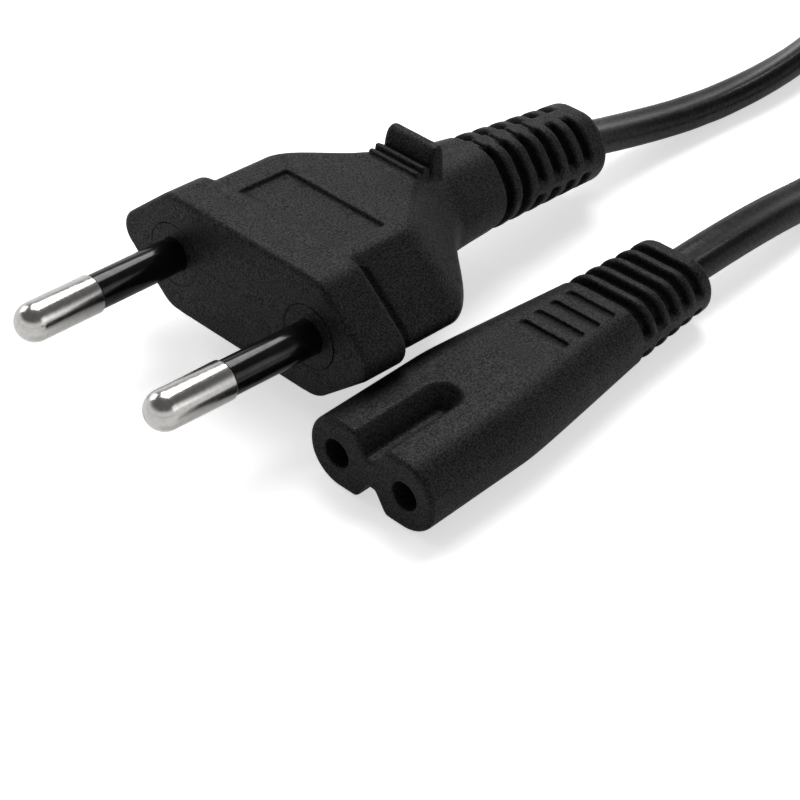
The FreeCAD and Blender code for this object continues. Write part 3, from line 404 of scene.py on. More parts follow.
def plug_distance(x, y, z, s):
    """Signed distance from the plug's moulding, before its boot bends down: the six sided
    section drawn in along the shoulders to the neck and the boot, joined to the wider front
    section, the finger tab and its ribs, less the label recess, the grooves and the wells
    round the pins."""
    tab_sunk, tab_upright, chamfer_run, back_run = 1.5, 0.9, 0.6, 0.5
    rib_count, rib_half, plinth_share = 3, 0.3, 1.1
    panel_ramp = 1.2
    web_from_groove, last_lined_groove = 2, 3
    line_half, line_depth, line_past_web = 0.24, 0.4, 0.3
    well_gap, well_depth = 0.015, 3.1
    far_outside, far_inside = 9.0, -9.0
    half_width = s.face_width / 2
    half_height = s.face_height / 2
    flat = s.face_flat / 2
    shoulder = (y - s.straight) / (s.shoulder_end - s.straight)
    along_neck = np.clip((y - s.shoulder_end) / (s.boot_start - s.shoulder_end), 0.0, 1.0)
    along_boot = np.clip((y - s.boot_start) / (s.total - s.boot_start), 0.0, 1.0)

    def carried(body, neck, start, end, share):
        """One size of the section, carried from the body through the neck to the boot."""
        return between(between(between(body, neck, share), start, along_neck), end, along_boot)

    even = np.clip(shoulder, 0.0, 1.0)
    body = six_sided(
        x, z,
        carried(half_width - 0.95 * s.skirt_step, s.neck_width / 2, s.boot_start_width / 2,
                s.boot_width / 2, ease(shoulder)),
        carried(half_height, s.neck_height / 2, s.boot_start_height / 2,
                s.boot_height / 2, ease((shoulder - 0.6) / 0.4)),
        carried(flat - 1.4 * s.skirt_step, s.neck_flat / 2, s.boot_flat / 2,
                s.boot_flat / 2 - 0.6, ease(shoulder / 0.72)),
        carried(s.face_nose - 0.8 * s.skirt_step, s.boot_nose, s.boot_nose, s.boot_nose, even),
        carried(s.face_corner - 1.2 * s.skirt_step, s.boot_corner, s.boot_corner,
                s.boot_corner, even))
    skirt = six_sided(x, z, half_width, half_height, flat, s.face_nose, s.face_corner)
    skirt = soft_max(skirt, y - s.skirt_depth, EDGE_EASE * s.edge)
    cove = np.hypot(y - s.skirt_depth - s.cove, body - 0.1) - s.cove
    cove = soft_max(cove, np.abs(z) - half_height + 1.0, 0.6)
    body = carve(body, cove, 0.3)
    solid = soft_max(join(skirt, body, 0.2), -y, EDGE_EASE * s.edge)
    solid = soft_max(solid, y - s.total, 1.05)

    rise = np.abs(z)
    sides = np.abs(x) - s.tab_width / 2
    base = s.neck_height / 2 - tab_sunk
    low = half_height + tab_upright
    high = s.tab_reach
    rear = s.tab_start + s.tab_thickness
    front = s.tab_start - 0.05 - y
    chamfer = np.array([high - low, chamfer_run]) / math.hypot(high - low, chamfer_run)
    slope = (s.tab_start - y) * chamfer[0] + (rise - low) * chamfer[1]
    back = np.array([high - base, back_run]) / math.hypot(high - base, back_run)
    behind = (y - rear + back_run) * back[0] + (rise - high) * back[1]
    tab = soft_max(soft_max(front, slope, 0.4), rise - high, 0.55)
    tab = soft_max(soft_max(tab, behind, 0.6), sides, 0.6)
    solid = join(solid, np.maximum(tab, base - rise), 0.25)
    for index in range(rib_count):
        start = s.tab_start - (3.3 - index) * s.rib_pitch
        top = half_height + (index + 0.2) * s.rib_rise
        middle = start + rib_half * s.rib_pitch
        rib = soft_max(np.abs(y - middle) - rib_half * s.rib_pitch, rise - top, 0.12)
        rib = soft_max(rib, sides, 0.3)
        plinth = np.maximum(np.maximum(start - y, y - start - plinth_share * s.rib_pitch),
                            np.maximum(rise - top + plinth_share * s.rib_rise, sides))
        solid = join(solid, np.maximum(np.minimum(rib, plinth), base - rise), 0.06)

    floor = half_height - s.panel_depth * np.clip((y - s.panel_front) / panel_ramp, 0.0, 1.0)
    panel = np.maximum(np.abs(x - s.panel_aside) - s.panel_width / 2, y - s.panel_rear)
    solid = carve(solid, np.maximum(np.maximum(panel, floor - z), s.panel_front - y), 0.06)

    index, along = nearest_in_row(y, s.groove_first, s.groove_pitch, 6)
    along = np.abs(along) - s.groove_width / 2
    groove = soft_max(along, -(body + s.groove_depth), 0.45)
    side_web = np.where(index >= web_from_groove, s.web / 2 - np.abs(z), far_inside)
    groove = soft_max(groove, s.top_web / 2 - np.abs(x), 0.25)
    solid = carve(solid, soft_max(groove, side_web, 0.45), 0.36)
    line = np.maximum(along + s.groove_width / 2 - line_half, -(body + line_depth))
    line = np.maximum(line, np.abs(x) - s.top_web / 2 - line_past_web)
    solid = carve(solid, np.where(index <= last_lined_groove, line, far_outside), 0.14)

    axis = s.pin_spacing / 2 + y * math.tan(s.pin_toe)
    well = np.hypot(np.abs(x) - axis, z) - s.boss_diameter / 2 - well_gap
    solid = carve(solid, np.maximum(well, y - well_depth), 0.06)
    return carve(solid, cord_hole(x, y, z, s, 0.9), 0.3)


# Surfaces from whole arrays


def graded(coarse, *spans):
    """Grid lines along one axis: rows of equal steps, each span with its own step."""
    rows = [np.arange(start, end - 0.5 * (step * coarse), step * coarse)
            for start, end, step in spans]
    return np.concatenate(rows + [np.array([spans[-1][1]])])


def level_surface(distance, lines):
    """The surface where a signed distance is zero.

    Each grid edge whose two ends lie on different sides holds one crossing, in proportion
    to its ends' distances. The point of a cell is the mean of its crossings, and the four
    cells round such an edge make one face. Three steps down the distance's slope then set
    the points on the surface itself.
    """
    reach = 0.004
    least_steep, longest_move = 0.25, 0.12
    xs, ys, zs = lines
    grid = distance(xs[:, None, None], ys[None, :, None], zs[None, None, :])
    inside = grid < 0
    crossings, owners, faces = [], [], []
    for axis in range(3):
        low = tuple(slice(0, -1) if side == axis else slice(None) for side in range(3))
        high = tuple(slice(1, None) if side == axis else slice(None) for side in range(3))
        index = np.stack(np.nonzero(inside[low] != inside[high]), 1)
        first = grid[low][tuple(index.T)]
        last = grid[high][tuple(index.T)]
        points = np.stack([line[row] for line, row in zip(lines, index.T)], 1)
        line = lines[axis]
        step = line[index[:, axis] + 1] - line[index[:, axis]]
        points[:, axis] += first / (first - last) * step
        cells = []
        for before, below in ((1, 1), (0, 1), (0, 0), (1, 0)):
            cell = index.copy()
            cell[:, (axis + 1) % 3] -= before
            cell[:, (axis + 2) % 3] -= below
            cells.append(np.ravel_multi_index(cell.T, grid.shape))
        cells = np.stack(cells, 1)
        cells = np.where((first < 0)[:, None], cells, cells[:, ::-1])
        faces.append(cells)
        owners.append(cells.ravel())
        crossings.append(np.repeat(points, 4, axis=0))
    quads = np.unique(np.concatenate(owners), return_inverse=True)[1]
    crossings = np.concatenate(crossings)
    count = np.bincount(quads)
    points = np.stack([np.bincount(quads, crossings[:, side]) / count for side in range(3)], 1)
    for _ in range(3):
        slope = np.stack([
            (distance(*(points + reach * way).T) - distance(*(points - reach * way).T))
            / (2 * reach) for way in np.eye(3)], 1)
        steep = np.maximum((slope ** 2).sum(1), least_steep)
        move = slope * (-distance(*points.T) / steep)[:, None]
        points = points + np.clip(move, -longest_move, longest_move)
    return points, quads.reshape(-1, 4)


def grid_faces(rows, columns, rows_close=False):
    """Four sided faces between neighbouring points of a grid whose columns close up."""
    last = rows if rows_close else rows - 1
    row = np.arange(last)[:, None]
    column = np.arange(columns)[None, :]
    next_row = (row + 1) % rows
    next_column = (column + 1) % columns
    return np.stack([row * columns + column, row * columns + next_column,
                     next_row * columns + next_column, next_row * columns + column],
                    -1).reshape(-1, 4)


def ends_closed(points, rows, columns, ends):
    """A tube of rings with one more point at each end, and the triangles that close it."""
    start = len(points)
    column = np.arange(columns)
    following = (column + 1) % columns
    last = (rows - 1) * columns
    return np.concatenate([points, ends]), [
        np.stack([np.full(columns, start), following, column], 1),
        np.stack([np.full(columns, start + 1), last + column, last + following], 1)]


def faces_outward(points, faces):
    """The faces, turned round as one if they enclose a negative volume."""
    volume = 0.0
    for group in faces:
        corners = points[group]
        for index in range(1, group.shape[1] - 1):
            volume += np.einsum("ij,ij->", corners[:, 0], np.cross(
                corners[:, index], corners[:, index + 1]))
    return faces if volume > 0 else [group[:, ::-1] for group in faces]


def add_piece(name, points, faces, material):
    """A mesh object at the origin from points in millimetres, shown smooth."""
    if isinstance(faces, np.ndarray):
        faces = [faces]
    faces = faces_outward(points, faces)
    mesh = bpy.data.meshes.new(name)
    rows = [row for group in faces for row in group.tolist()]
    mesh.from_pydata((points * MILLIMETRE).tolist(), [], rows)
    mesh.validate()
    mesh.shade_smooth()
    mesh.materials.append(material)
    piece = bpy.data.objects.new(name, mesh)
    bpy.context.scene.collection.objects.link(piece)
    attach(piece, "root")
    return piece


def store_height(piece, heights):
    """Keep each point's height over the parting plane, for the material."""
    attribute = piece.data.attributes.new("parting_height", "FLOAT", "POINT")
    attribute.data.foreach_set("value", heights.astype(np.float32))


def filleted(corners):
    """A profile of straight sides whose corners are arcs, from (along, out, radius) rows."""
    steps = 5
    points = []
    for index, (along, out, radius) in enumerate(corners):
        here = np.array([along, out])
        if not radius or index in (0, len(corners) - 1):
            points.append(here[None])
            continue
        back = np.array(corners[index - 1][:2]) - here
        ahead = np.array(corners[index + 1][:2]) - here
        back = back / np.linalg.norm(back)
        ahead = ahead / np.linalg.norm(ahead)
        half = 0.5 * math.acos(np.clip(back @ ahead, -1.0, 1.0))
        middle = (back + ahead) / np.linalg.norm(back + ahead)
        centre = here + middle * radius / math.sin(half)
        first = here + back * radius / math.tan(half) - centre
        last = here + ahead * radius / math.tan(half) - centre
        share = np.linspace(0.0, 1.0, steps)[:, None]
        arc = first * (1 - share) + last * share
        points.append(centre + arc / np.linalg.norm(arc, axis=1)[:, None] * radius)
    return np.concatenate(points)


def turned(profile, closed=False):
    """A profile carried round the Y axis: Y is the distance along it, and X and Z are the
    radius times the cosine and sine of the turn. A profile that starts and ends on the
    axis gets one point at each end."""
    around = 96
    if not closed:
        tips = profile[[0, -1]]
        profile = profile[1:-1]
    turn = np.arange(around) * 2 * np.pi / around
    ring = np.stack([np.cos(turn), np.zeros(around), np.sin(turn)], 1)
    points = profile[:, 1, None, None] * ring[None]
    points[:, :, 1] = profile[:, 0, None]
    points = points.reshape(-1, 3)
    faces = [grid_faces(len(profile), around, closed)]
    if not closed:
        ends = np.array([[0.0, tips[0, 0], 0.0], [0.0, tips[1, 0], 0.0]])
        points, fans = ends_closed(points, len(profile), around, ends)
        faces += fans
    return points, faces


# Where the plug lies


def rotation(axis, radians):
    """A rotation matrix about a main axis."""
    cosine, sine = math.cos(radians), math.sin(radians)
    first, second = ((1, 2), (2, 0), (0, 1))[axis]
    matrix = np.eye(3)
    matrix[first, first] = matrix[second, second] = cosine
    matrix[first, second] = -sine
    matrix[second, first] = sine
    return matrix


def boot_bent(points, s):
    """Bend the boot down: past the bend's start the sections stay square to a middle line
    whose slope eases to the full droop."""
    past_end, rows = 20.0, 2000
    table = np.linspace(0.0, s.total + past_end, rows)
    slope = -s.droop * ease((table - s.droop_from) / (s.droop_to - s.droop_from))
    step = table[1] - table[0]
    along = np.concatenate([[0.0], np.cumsum(np.cos(slope[1:]) * step)])
    down = np.concatenate([[0.0], np.cumsum(np.sin(slope[1:]) * step)])
    y, z = points[:, 1], points[:, 2]
    tilt = np.interp(y, table, slope)
    bent = points.copy()
    bent[:, 1] = np.where(y > 0, np.interp(y, table, along) - z * np.sin(tilt), y)
    bent[:, 2] = np.interp(y, table, down) + z * np.cos(tilt)
    return bent


def plug_placed(points, s):
    """From the plug's own frame to the lead's: leant, turned and moved."""
    return points @ (rotation(2, -s.turn) @ rotation(0, -s.lean)).T + s.place


def pin_placed(points, sign, s):
    """From a pin's own frame to the lead's: leant about its foot, then with the plug."""
    leant = points @ rotation(2, -sign * s.pin_toe).T
    return plug_placed(leant + np.array([sign * s.pin_spacing / 2, 0.0, 0.0]), s)


# The cord's way

CONNECTOR_ROUTE = [
    (0.0, 0.022, 0.0039), (0.0, 0.034, 0.0039), (-0.0003, 0.050, 0.0015),
    (0.001, 0.067, 0.0015), (0.0085, 0.086, 0.0015), (0.01908, 0.1015, 0.0015)]
PLUG_ROUTE = [
    (-0.0219063, 0.0316964, 0.0059833), (-0.0217728, 0.0426159, 0.0046618),
    (-0.0209, 0.053, 0.0015), (-0.019, 0.063, 0.0015), (-0.0193, 0.074, 0.0015),
    (-0.0222, 0.0845, 0.0026), (-0.03411, 0.10014, 0.0078)]
# The coil starts and ends where the two routes meet its outer turn.
COIL_START = math.radians(-34.34)
COIL_END = math.radians(217.26 + 6 * 360.0)
# The angles, counted on from turn to turn, where the cord starts to move in, up or out.
MOVES_IN = (151, 511, 871)
MOVE_UP = 1231
MOVES_OUT = (1543, 1903, 2263)
TIE_BEARING = 90.0


def stepped(degrees, starts, values):
    """A value that eases to the next one over 48 degrees from each start."""
    move = 48.0
    total = np.full_like(degrees, values[0])
    for start, before, after in zip(starts, values, values[1:]):
        total = total + (after - before) * ease((degrees - start) / move)
    return total


def coil_points(s):
    """Control points of the coil, about 24 degrees apart.

    The lower layer is wound from its outer turn inwards, moving in one turn's spacing once
    a turn. The cord then climbs beside the last turn, and the upper layer is wound outwards.
    All turns lift over the tie's lower wall at the far side.
    """
    spacing_wanted = 24.0
    lift_fades, lift_held = 20.0, 1.6
    count = int(round(math.degrees(COIL_END - COIL_START) / spacing_wanted))
    part = (COIL_END - COIL_START) / count
    turn = COIL_START + part * (np.arange(count) + 0.5)
    degrees = np.degrees(turn)
    middle, spacing = s.coil_radius, s.turn_spacing
    rings = [middle + spacing * share for share in (1.5, 0.5, -0.5, -1.5, -0.5, 0.5, 1.5)]
    radius = stepped(degrees, MOVES_IN + MOVES_OUT, rings)
    height = stepped(degrees, (MOVE_UP,), (s.width / 2, s.width / 2 + s.layer_spacing))
    from_tie = np.abs((degrees - TIE_BEARING + 180.0) % 360.0 - 180.0)
    height = height + s.tie_wall * np.clip(lift_held - from_tie / lift_fades, 0.0, 1.0)
    radius = radius / math.cos(part / 2)
    points = np.stack([s.coil_x + radius * np.cos(turn), s.coil_y + radius * np.sin(turn),
                       height], 1)
    return points * MILLIMETRE


def spline_points(control):
    """The points of a smooth spline over the control points, read from the curve itself."""
    curve = bpy.data.curves.new("cord_line", "CURVE")
    curve.dimensions = "3D"
    curve.resolution_u = 16
    spline = curve.splines.new("NURBS")
    spline.points.add(len(control) - 1)
    weighted = np.concatenate([control, np.ones((len(control), 1))], 1)
    spline.points.foreach_set("co", weighted.ravel())
    spline.order_u = 3
    spline.use_endpoint_u = True
    holder = bpy.data.objects.new("cord_line", curve)
    bpy.context.scene.collection.objects.link(holder)
    bpy.context.view_layer.update()
    mesh = bpy.data.meshes.new_from_object(holder)
    points = np.empty(3 * len(mesh.vertices))
    mesh.vertices.foreach_get("co", points)
    bpy.data.objects.remove(holder)
    bpy.data.meshes.remove(mesh)
    bpy.data.curves.remove(curve)
    return points.reshape(-1, 3) / MILLIMETRE


def evenly_spaced(points, spacing):
    """Points at equal distances along a line, and each one's distance from its start."""
    steps = np.linalg.norm(np.diff(points, axis=0), axis=1)
    along = np.concatenate([[0.0], np.cumsum(steps)])
    wanted = np.linspace(0.0, along[-1], int(round(along[-1] / spacing)) + 1)
    even = np.stack([np.interp(wanted, along, points[:, side]) for side in range(3)], 1)
    return even, wanted


def cord_section(s):
    """Points round the cord's section: two half circles joined by straight sides, drawn in
    by a bell curve to the shallow valley between the cores."""
    radius = s.thickness / 2
    straight = s.width - s.thickness
    whole = 2 * straight + 2 * math.pi * radius
    along = np.arange(s.around) / s.around * whole
    right_end = math.pi * radius
    across = np.empty(s.around)
    up = np.empty(s.around)
    right = along < right_end
    turn = along / radius - math.pi / 2
    across[right] = straight / 2 + radius * np.cos(turn[right])
    up[right] = radius * np.sin(turn[right])
    top = (along >= right_end) & (along < right_end + straight)
    across[top] = straight / 2 - (along[top] - right_end)
    up[top] = radius
    left = (along >= right_end + straight) & (along < 2 * right_end + straight)
    turn = (along - right_end - straight) / radius + math.pi / 2
    across[left] = -straight / 2 + radius * np.cos(turn[left])
    up[left] = radius * np.sin(turn[left])
    bottom = along >= 2 * right_end + straight
    across[bottom] = -straight / 2 + (along[bottom] - 2 * right_end - straight)
    up[bottom] = -radius
    valley_reach = 0.75
    up = up - np.sign(up) * s.valley * np.exp(-(across / valley_reach) ** 2)
    return across, up


# Materials


def new_material(name):
    """A material, its nodes, its links and the shader that it starts with."""
    material = bpy.data.materials.new(name)
    material.use_nodes = True
    nodes = material.node_tree.nodes
    shader = nodes["Principled BSDF"]
    return material, nodes, material.node_tree.links, shader


def noise(nodes, links, where, scale, detail=2.0, stretch=None):
    """A noise pattern on the object's own coordinates."""
    if stretch:
        mapping = nodes.new("ShaderNodeMapping")
        mapping.inputs["Scale"].default_value = stretch
        links.new(where, mapping.inputs["Vector"])
        where = mapping.outputs["Vector"]
    texture = nodes.new("ShaderNodeTexNoise")
    texture.inputs["Scale"].default_value = scale
    texture.inputs["Detail"].default_value = detail
    links.new(where, texture.inputs["Vector"])
    return texture.outputs["Fac"]


def calculated(nodes, links, operation, first, second):
    """One step of arithmetic on a pattern."""
    node = nodes.new("ShaderNodeMath")
    node.operation = operation
    for socket, value in zip(node.inputs, (first, second)):
        if isinstance(value, (int, float)):
            socket.default_value = value
        else:
            links.new(value, socket)
    return node.outputs[0]


def ranged(nodes, links, value, low, high, start=0.25, end=0.75):
    """A pattern carried to a range of values."""
    node = nodes.new("ShaderNodeMapRange")
    links.new(value, node.inputs["Value"])
    for name, setting in (("From Min", start), ("From Max", end),
                          ("To Min", low), ("To Max", high)):
        node.inputs[name].default_value = setting
    return node.outputs["Result"]


def shaded(nodes, links, factor, tint):
    """A colour times a pattern of light and dark."""
    node = nodes.new("ShaderNodeMix")
    node.data_type = "RGBA"
    node.blend_type = "MULTIPLY"
    node.inputs[0].default_value = 1.0
    node.inputs[6].default_value = (*tint, 1.0)
    links.new(factor, node.inputs[7])
    return node.outputs[2]


def surface_material(name, tint, rough, depth, contrast, spread=0.06, grain=2500.0,
                     relief=0.4, patches=180.0, metallic=0.0, specular=0.5, streaks=None,
                     fleck=0.1, parting=False):
    """A finish with patches of slightly different tone and gloss over a fine grain.

    Tone is the tint times a soft noise and the grain's flecks, and the flecks change how
    strongly the surface mirrors too. Roughness follows another noise, and the grain lifts
    the surface. Streaks stretch the tone along one axis. A parting line is a thin band where
    the stored height is near zero.
    """
    material, nodes, links, shader = new_material(name)
    where = nodes.new("ShaderNodeTexCoord").outputs["Object"]
    tone = ranged(nodes, links, noise(nodes, links, where, patches, 3.0, streaks),
                  1.0 - contrast, 1.0 + contrast)
    height = noise(nodes, links, where, grain, 1.0)
    flecks = ranged(nodes, links, height, 1.0 - fleck, 1.0 + fleck, 0.35, 0.65)
    tone = calculated(nodes, links, "MULTIPLY", tone, flecks)
    if parting:
        attribute = nodes.new("ShaderNodeAttribute")
        attribute.attribute_name = "parting_height"
        distance = calculated(nodes, links, "ABSOLUTE", attribute.outputs["Fac"], 0.0)
        line = ranged(nodes, links, distance, 0.75, 1.0, 0.03, 0.10)
        tone = calculated(nodes, links, "MULTIPLY", tone, line)
        ridge = ranged(nodes, links, distance, 0.5, 0.0, 0.02, 0.12)
        height = calculated(nodes, links, "ADD", height, ridge)
    links.new(shaded(nodes, links, tone, tint), shader.inputs["Base Color"])
    links.new(calculated(nodes, links, "MULTIPLY", flecks, specular),
              shader.inputs["Specular IOR Level"])
    gloss = noise(nodes, links, where, patches * 3.1, 4.0)
    links.new(ranged(nodes, links, gloss, rough - spread, rough + spread),
              shader.inputs["Roughness"])
    bump = nodes.new("ShaderNodeBump")
    bump.inputs["Strength"].default_value = relief
    bump.inputs["Distance"].default_value = depth
    links.new(height, bump.inputs["Height"])
    links.new(bump.outputs["Normal"], shader.inputs["Normal"])
    shader.inputs["Metallic"].default_value = metallic
    return material


def moulding_material(name, tint, **extra):
    """Moulded PVC with the fine sparked grain of its mould."""
    return surface_material(name, tint, 0.48, spread=0.06, grain=5600.0, depth=0.00006,
                            relief=0.8, patches=260.0, contrast=0.12, specular=0.11,
                            fleck=0.55, **extra)


# Operators


class LeadOperator(bpy.types.Operator):
    """Shared by the operators that build the lead."""

    bl_options = {"REGISTER", "UNDO"}


class MAINS_LEAD_OT_camera(LeadOperator):
    """Set up the camera at the photograph's angle"""

    bl_idname = "mains_lead.camera"
    bl_label = "Camera"

    def execute(self, context):
        stage = context.scene.lead_stage
        camera = bpy.data.cameras.new("camera")
        camera.lens = stage.lens
        camera.sensor_width = 36.0
        camera.clip_start = 0.005
        camera.clip_end = 20.0
        holder = bpy.data.objects.new("camera", camera)
        context.scene.collection.objects.link(holder)
        flat = math.cos(stage.camera_elevation)
        forward = Vector((-math.sin(stage.camera_bearing) * flat,
                          math.cos(stage.camera_bearing) * flat,
                          -math.sin(stage.camera_elevation)))
        holder.location = stage.camera_place
        holder.rotation_euler = forward.to_track_quat("-Z", "Y").to_euler()
        context.scene.camera = holder
        return {"FINISHED"}


class MAINS_LEAD_OT_cord(LeadOperator):
    """Lay the flat cord from the connector through its coil to the plug"""

    bl_idname = "mains_lead.cord"
    bl_label = "Cord"

    def execute(self, context):
        s = sizes_of(context.scene.lead_cord)
        # lengths of cord, counted back from the plug
        lean_grows, roll_grows, roll_starts, lead_out, fall_window = 10.0, 16.0, 8.0, 90.0, 30.0
        # the height that the fall ends at, and how the cord is kept off the floor
        low_height, clearance, lift_ease = 1.85, 0.01, 0.8
        straight_share = 0.35  # of the connector's side, before the cord starts to roll
        first_sections = 400  # the end of the connector's side is looked for among these
        control = np.concatenate([
            np.array(CONNECTOR_ROUTE), coil_points(s), np.array(PLUG_ROUTE[::-1])])
        line, along = evenly_spaced(spline_points(control), s.ring_spacing)
        total = along[-1]
        back = total - along
        aside = np.exp(-((back - s.lean_middle) / s.lean_reach) ** 2) * ease(
            back / lean_grows)
        line[:, 0] += s.lean_aside * aside
        fall = np.clip(1.0 - back / s.fall_reach, 0.0, 1.0) ** 2
        fall = (line[-1, 2] - low_height) * fall + low_height
        line[:, 2] = np.where(back < fall_window, np.minimum(line[:, 2], fall), line[:, 2])
        lead_in = along[np.argmin(np.linalg.norm(
            line - np.array(CONNECTOR_ROUTE[-1]) / MILLIMETRE, axis=1)[:first_sections])]
        roll = -90.0 * ease((along - straight_share * lead_in) / ((1.0 - straight_share) * lead_in))
        leaving = between(math.degrees(s.plug_roll), 90.0,
                          ease((back - roll_starts) / (lead_out - roll_starts)))
        leaving = -leaving * ease(back / roll_grows)
        roll = np.radians(np.where(back < lead_out, leaving, roll))
        support = s.thickness / 2 + (s.width - s.thickness) / 2 * np.abs(np.sin(roll))
        line[:, 2] = soft_max(line[:, 2], support + clearance, lift_ease)
        heading = np.gradient(line, axis=0)
        heading /= np.linalg.norm(heading, axis=1)[:, None]
        side = np.cross(heading, np.array([0.0, 0.0, 1.0]))
        side /= np.linalg.norm(side, axis=1)[:, None]
        above = np.cross(side, heading)
        cosine, sine = np.cos(roll)[:, None], np.sin(roll)[:, None]
        broad = side * cosine + above * sine
        narrow = above * cosine - side * sine
        across, up = cord_section(s)
        points = (line[:, None] + across[None, :, None] * broad[:, None]
                  + up[None, :, None] * narrow[:, None])
        rows, columns = points.shape[:2]
        points = points.reshape(-1, 3)
        points, fans = ends_closed(points, rows, columns, np.stack([line[0], line[-1]]))
        jacket = surface_material(
            "cord_jacket", context.scene.lead_finish.jacket, 0.28, spread=0.05, grain=2600.0,
            depth=0.00003, relief=0.4, patches=120.0, contrast=0.08, specular=0.16, fleck=0.2)
        piece = add_piece("mains_cord", points, [grid_faces(rows, columns)] + fans, jacket)
        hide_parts("cord_connector_side", "cord_plug_side", "cord_coil")
        context.scene["lead_cord_path"] = (line * MILLIMETRE).ravel().tolist()
        context.scene["lead_cord_length"] = float(round(total * MILLIMETRE, 3))
        return {"FINISHED"}


class MAINS_LEAD_OT_connector(LeadOperator):
    """Mould the figure eight connector"""

    bl_idname = "mains_lead.connector"
    bl_label = "Connector"

    def execute(self, context):
        s = sizes_of(context.scene.lead_connector)
        coarse = 1.0
        across = np.arange(-8.3, 8.31, 0.17 * coarse)
        up = np.arange(-4.3, 4.31, 0.16 * coarse)
        along = graded(
            coarse, (-0.3, 1.0, 0.12), (1.0, 8.8, 0.28), (8.8, 11.6, 0.16),
            (11.6, 22.6, 0.32), (22.6, 31.4, 0.10), (31.4, 43.0, 0.13), (43.0, 44.3, 0.11))
        points, faces = level_surface(
            lambda x, y, z: connector_distance(x, y, z, s), (across, along, up))
        heights = points[:, 2].copy()
        points = points + np.array([0.0, -s.total / 2, s.nose_height / 2])
        tint = context.scene.lead_finish.moulding
        piece = add_piece("connector_moulding", points, faces,
                          moulding_material("connector_pvc", tint, parting=True))
        store_height(piece, heights)
        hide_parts("connector_body")
        return {"FINISHED"}


class MAINS_LEAD_OT_plug(LeadOperator):
    """Mould the plug's body with its finger tab and grooved boot"""

    bl_idname = "mains_lead.plug"
    bl_label = "Plug body"

    def execute(self, context):
        s = sizes_of(context.scene.lead_plug)
        coarse = 1.0
        across = graded(
            coarse, (-17.9, -6.7, 0.26), (-6.7, -5.8, 0.1), (-5.8, 7.0, 0.26),
            (7.0, 7.9, 0.1), (7.9, 17.9, 0.26))
        up = np.arange(-9.5, 9.51, 0.23 * coarse)
        along = graded(
            coarse, (-0.3, 1.3, 0.13), (1.3, 4.6, 0.32), (4.6, 6.8, 0.12), (6.8, 11.3, 0.34),
            (11.3, 12.3, 0.10), (12.3, 19.0, 0.32), (19.0, 25.4, 0.10), (25.4, 31.4, 0.26),
            (31.4, 46.2, 0.155), (46.2, 47.4, 0.25), (47.4, 49.2, 0.13))
        points, faces = level_surface(
            lambda x, y, z: plug_distance(x, y, z, s), (across, along, up))
        heights = points[:, 2].copy()
        points = plug_placed(boot_bent(points, s), s)
        tint = context.scene.lead_finish.moulding
        piece = add_piece("plug_moulding", points, faces,
                          moulding_material("plug_pvc", tint, parting=True))
        store_height(piece, heights)
        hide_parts("plug_body")
        return {"FINISHED"}


class MAINS_LEAD_OT_pins(LeadOperator):
    """Turn the two pins and their sleeves"""

    bl_idname = "mains_lead.pins"
    bl_label = "Pins"

    def execute(self, context):
        s = sizes_of(context.scene.lead_plug)
        finish = context.scene.lead_finish
        nickel = surface_material(
            "pin_nickel", finish.nickel, 0.2, spread=0.03, grain=2600.0, depth=0.000006,
            relief=0.3, patches=420.0, contrast=0.04, metallic=1.0, fleck=0.05,
            streaks=(1.0, 0.25, 1.0))
        gloss = surface_material(
            "sleeve_gloss", finish.sleeve, 0.16, spread=0.03, grain=900.0, depth=0.000006,
            relief=0.2, patches=200.0, contrast=0.08, specular=0.3)
        radius = s.pin_diameter / 2
        shank = s.shank_diameter / 2
        tip = np.linspace(0.0, np.pi / 2, 17)
        cap = np.stack([radius - radius * np.cos(tip), radius * np.sin(tip)], 1)
        cap[:, 0] -= s.pin_length
        flange_front, flange_back, flange = 8.24, 9.2, 2.6
        tail_end, tail = 13.2, 1.5
        bore_floor, bore = 9.8, 0.67
        body = filleted([
            (radius - s.pin_length + 0.2, radius, 0), (-s.sleeve_end, radius, 0.12),
            (-s.sleeve_end, shank, 0), (flange_front, shank, 0), (flange_front, flange, 0.1),
            (flange_back, flange, 0.1), (flange_back, tail, 0), (tail_end, tail, 0.1),
            (tail_end, bore, 0.1), (bore_floor, bore, 0), (bore_floor, 0.0, 0)])
        pin = turned(np.concatenate([cap, body]))
        outside = s.sleeve_diameter / 2
        around_shank, before_shoulder, past_face = 0.02, 0.04, 1.6
        inside = shank + around_shank
        start, end = -s.sleeve_end + before_shoulder, past_face
        tube = filleted([
            (0.0, inside, 0), (start, inside, 0.03), (start, outside, 0.12),
            (end, outside, 0.1), (end, inside, 0.03), (0.02, inside, 0)])
        sleeve = turned(tube, closed=True)
        for name, sign in (("left", -1.0), ("right", 1.0)):
            points, faces = pin
            piece = add_piece("plug_pin_" + name, pin_placed(points, sign, s), faces,
                              nickel)
            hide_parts("pin_" + name)
            points, faces = sleeve
            piece = add_piece("plug_sleeve_" + name, pin_placed(points, sign, s), faces,
                              gloss)
            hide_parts("pin_sleeve_" + name)
        return {"FINISHED"}


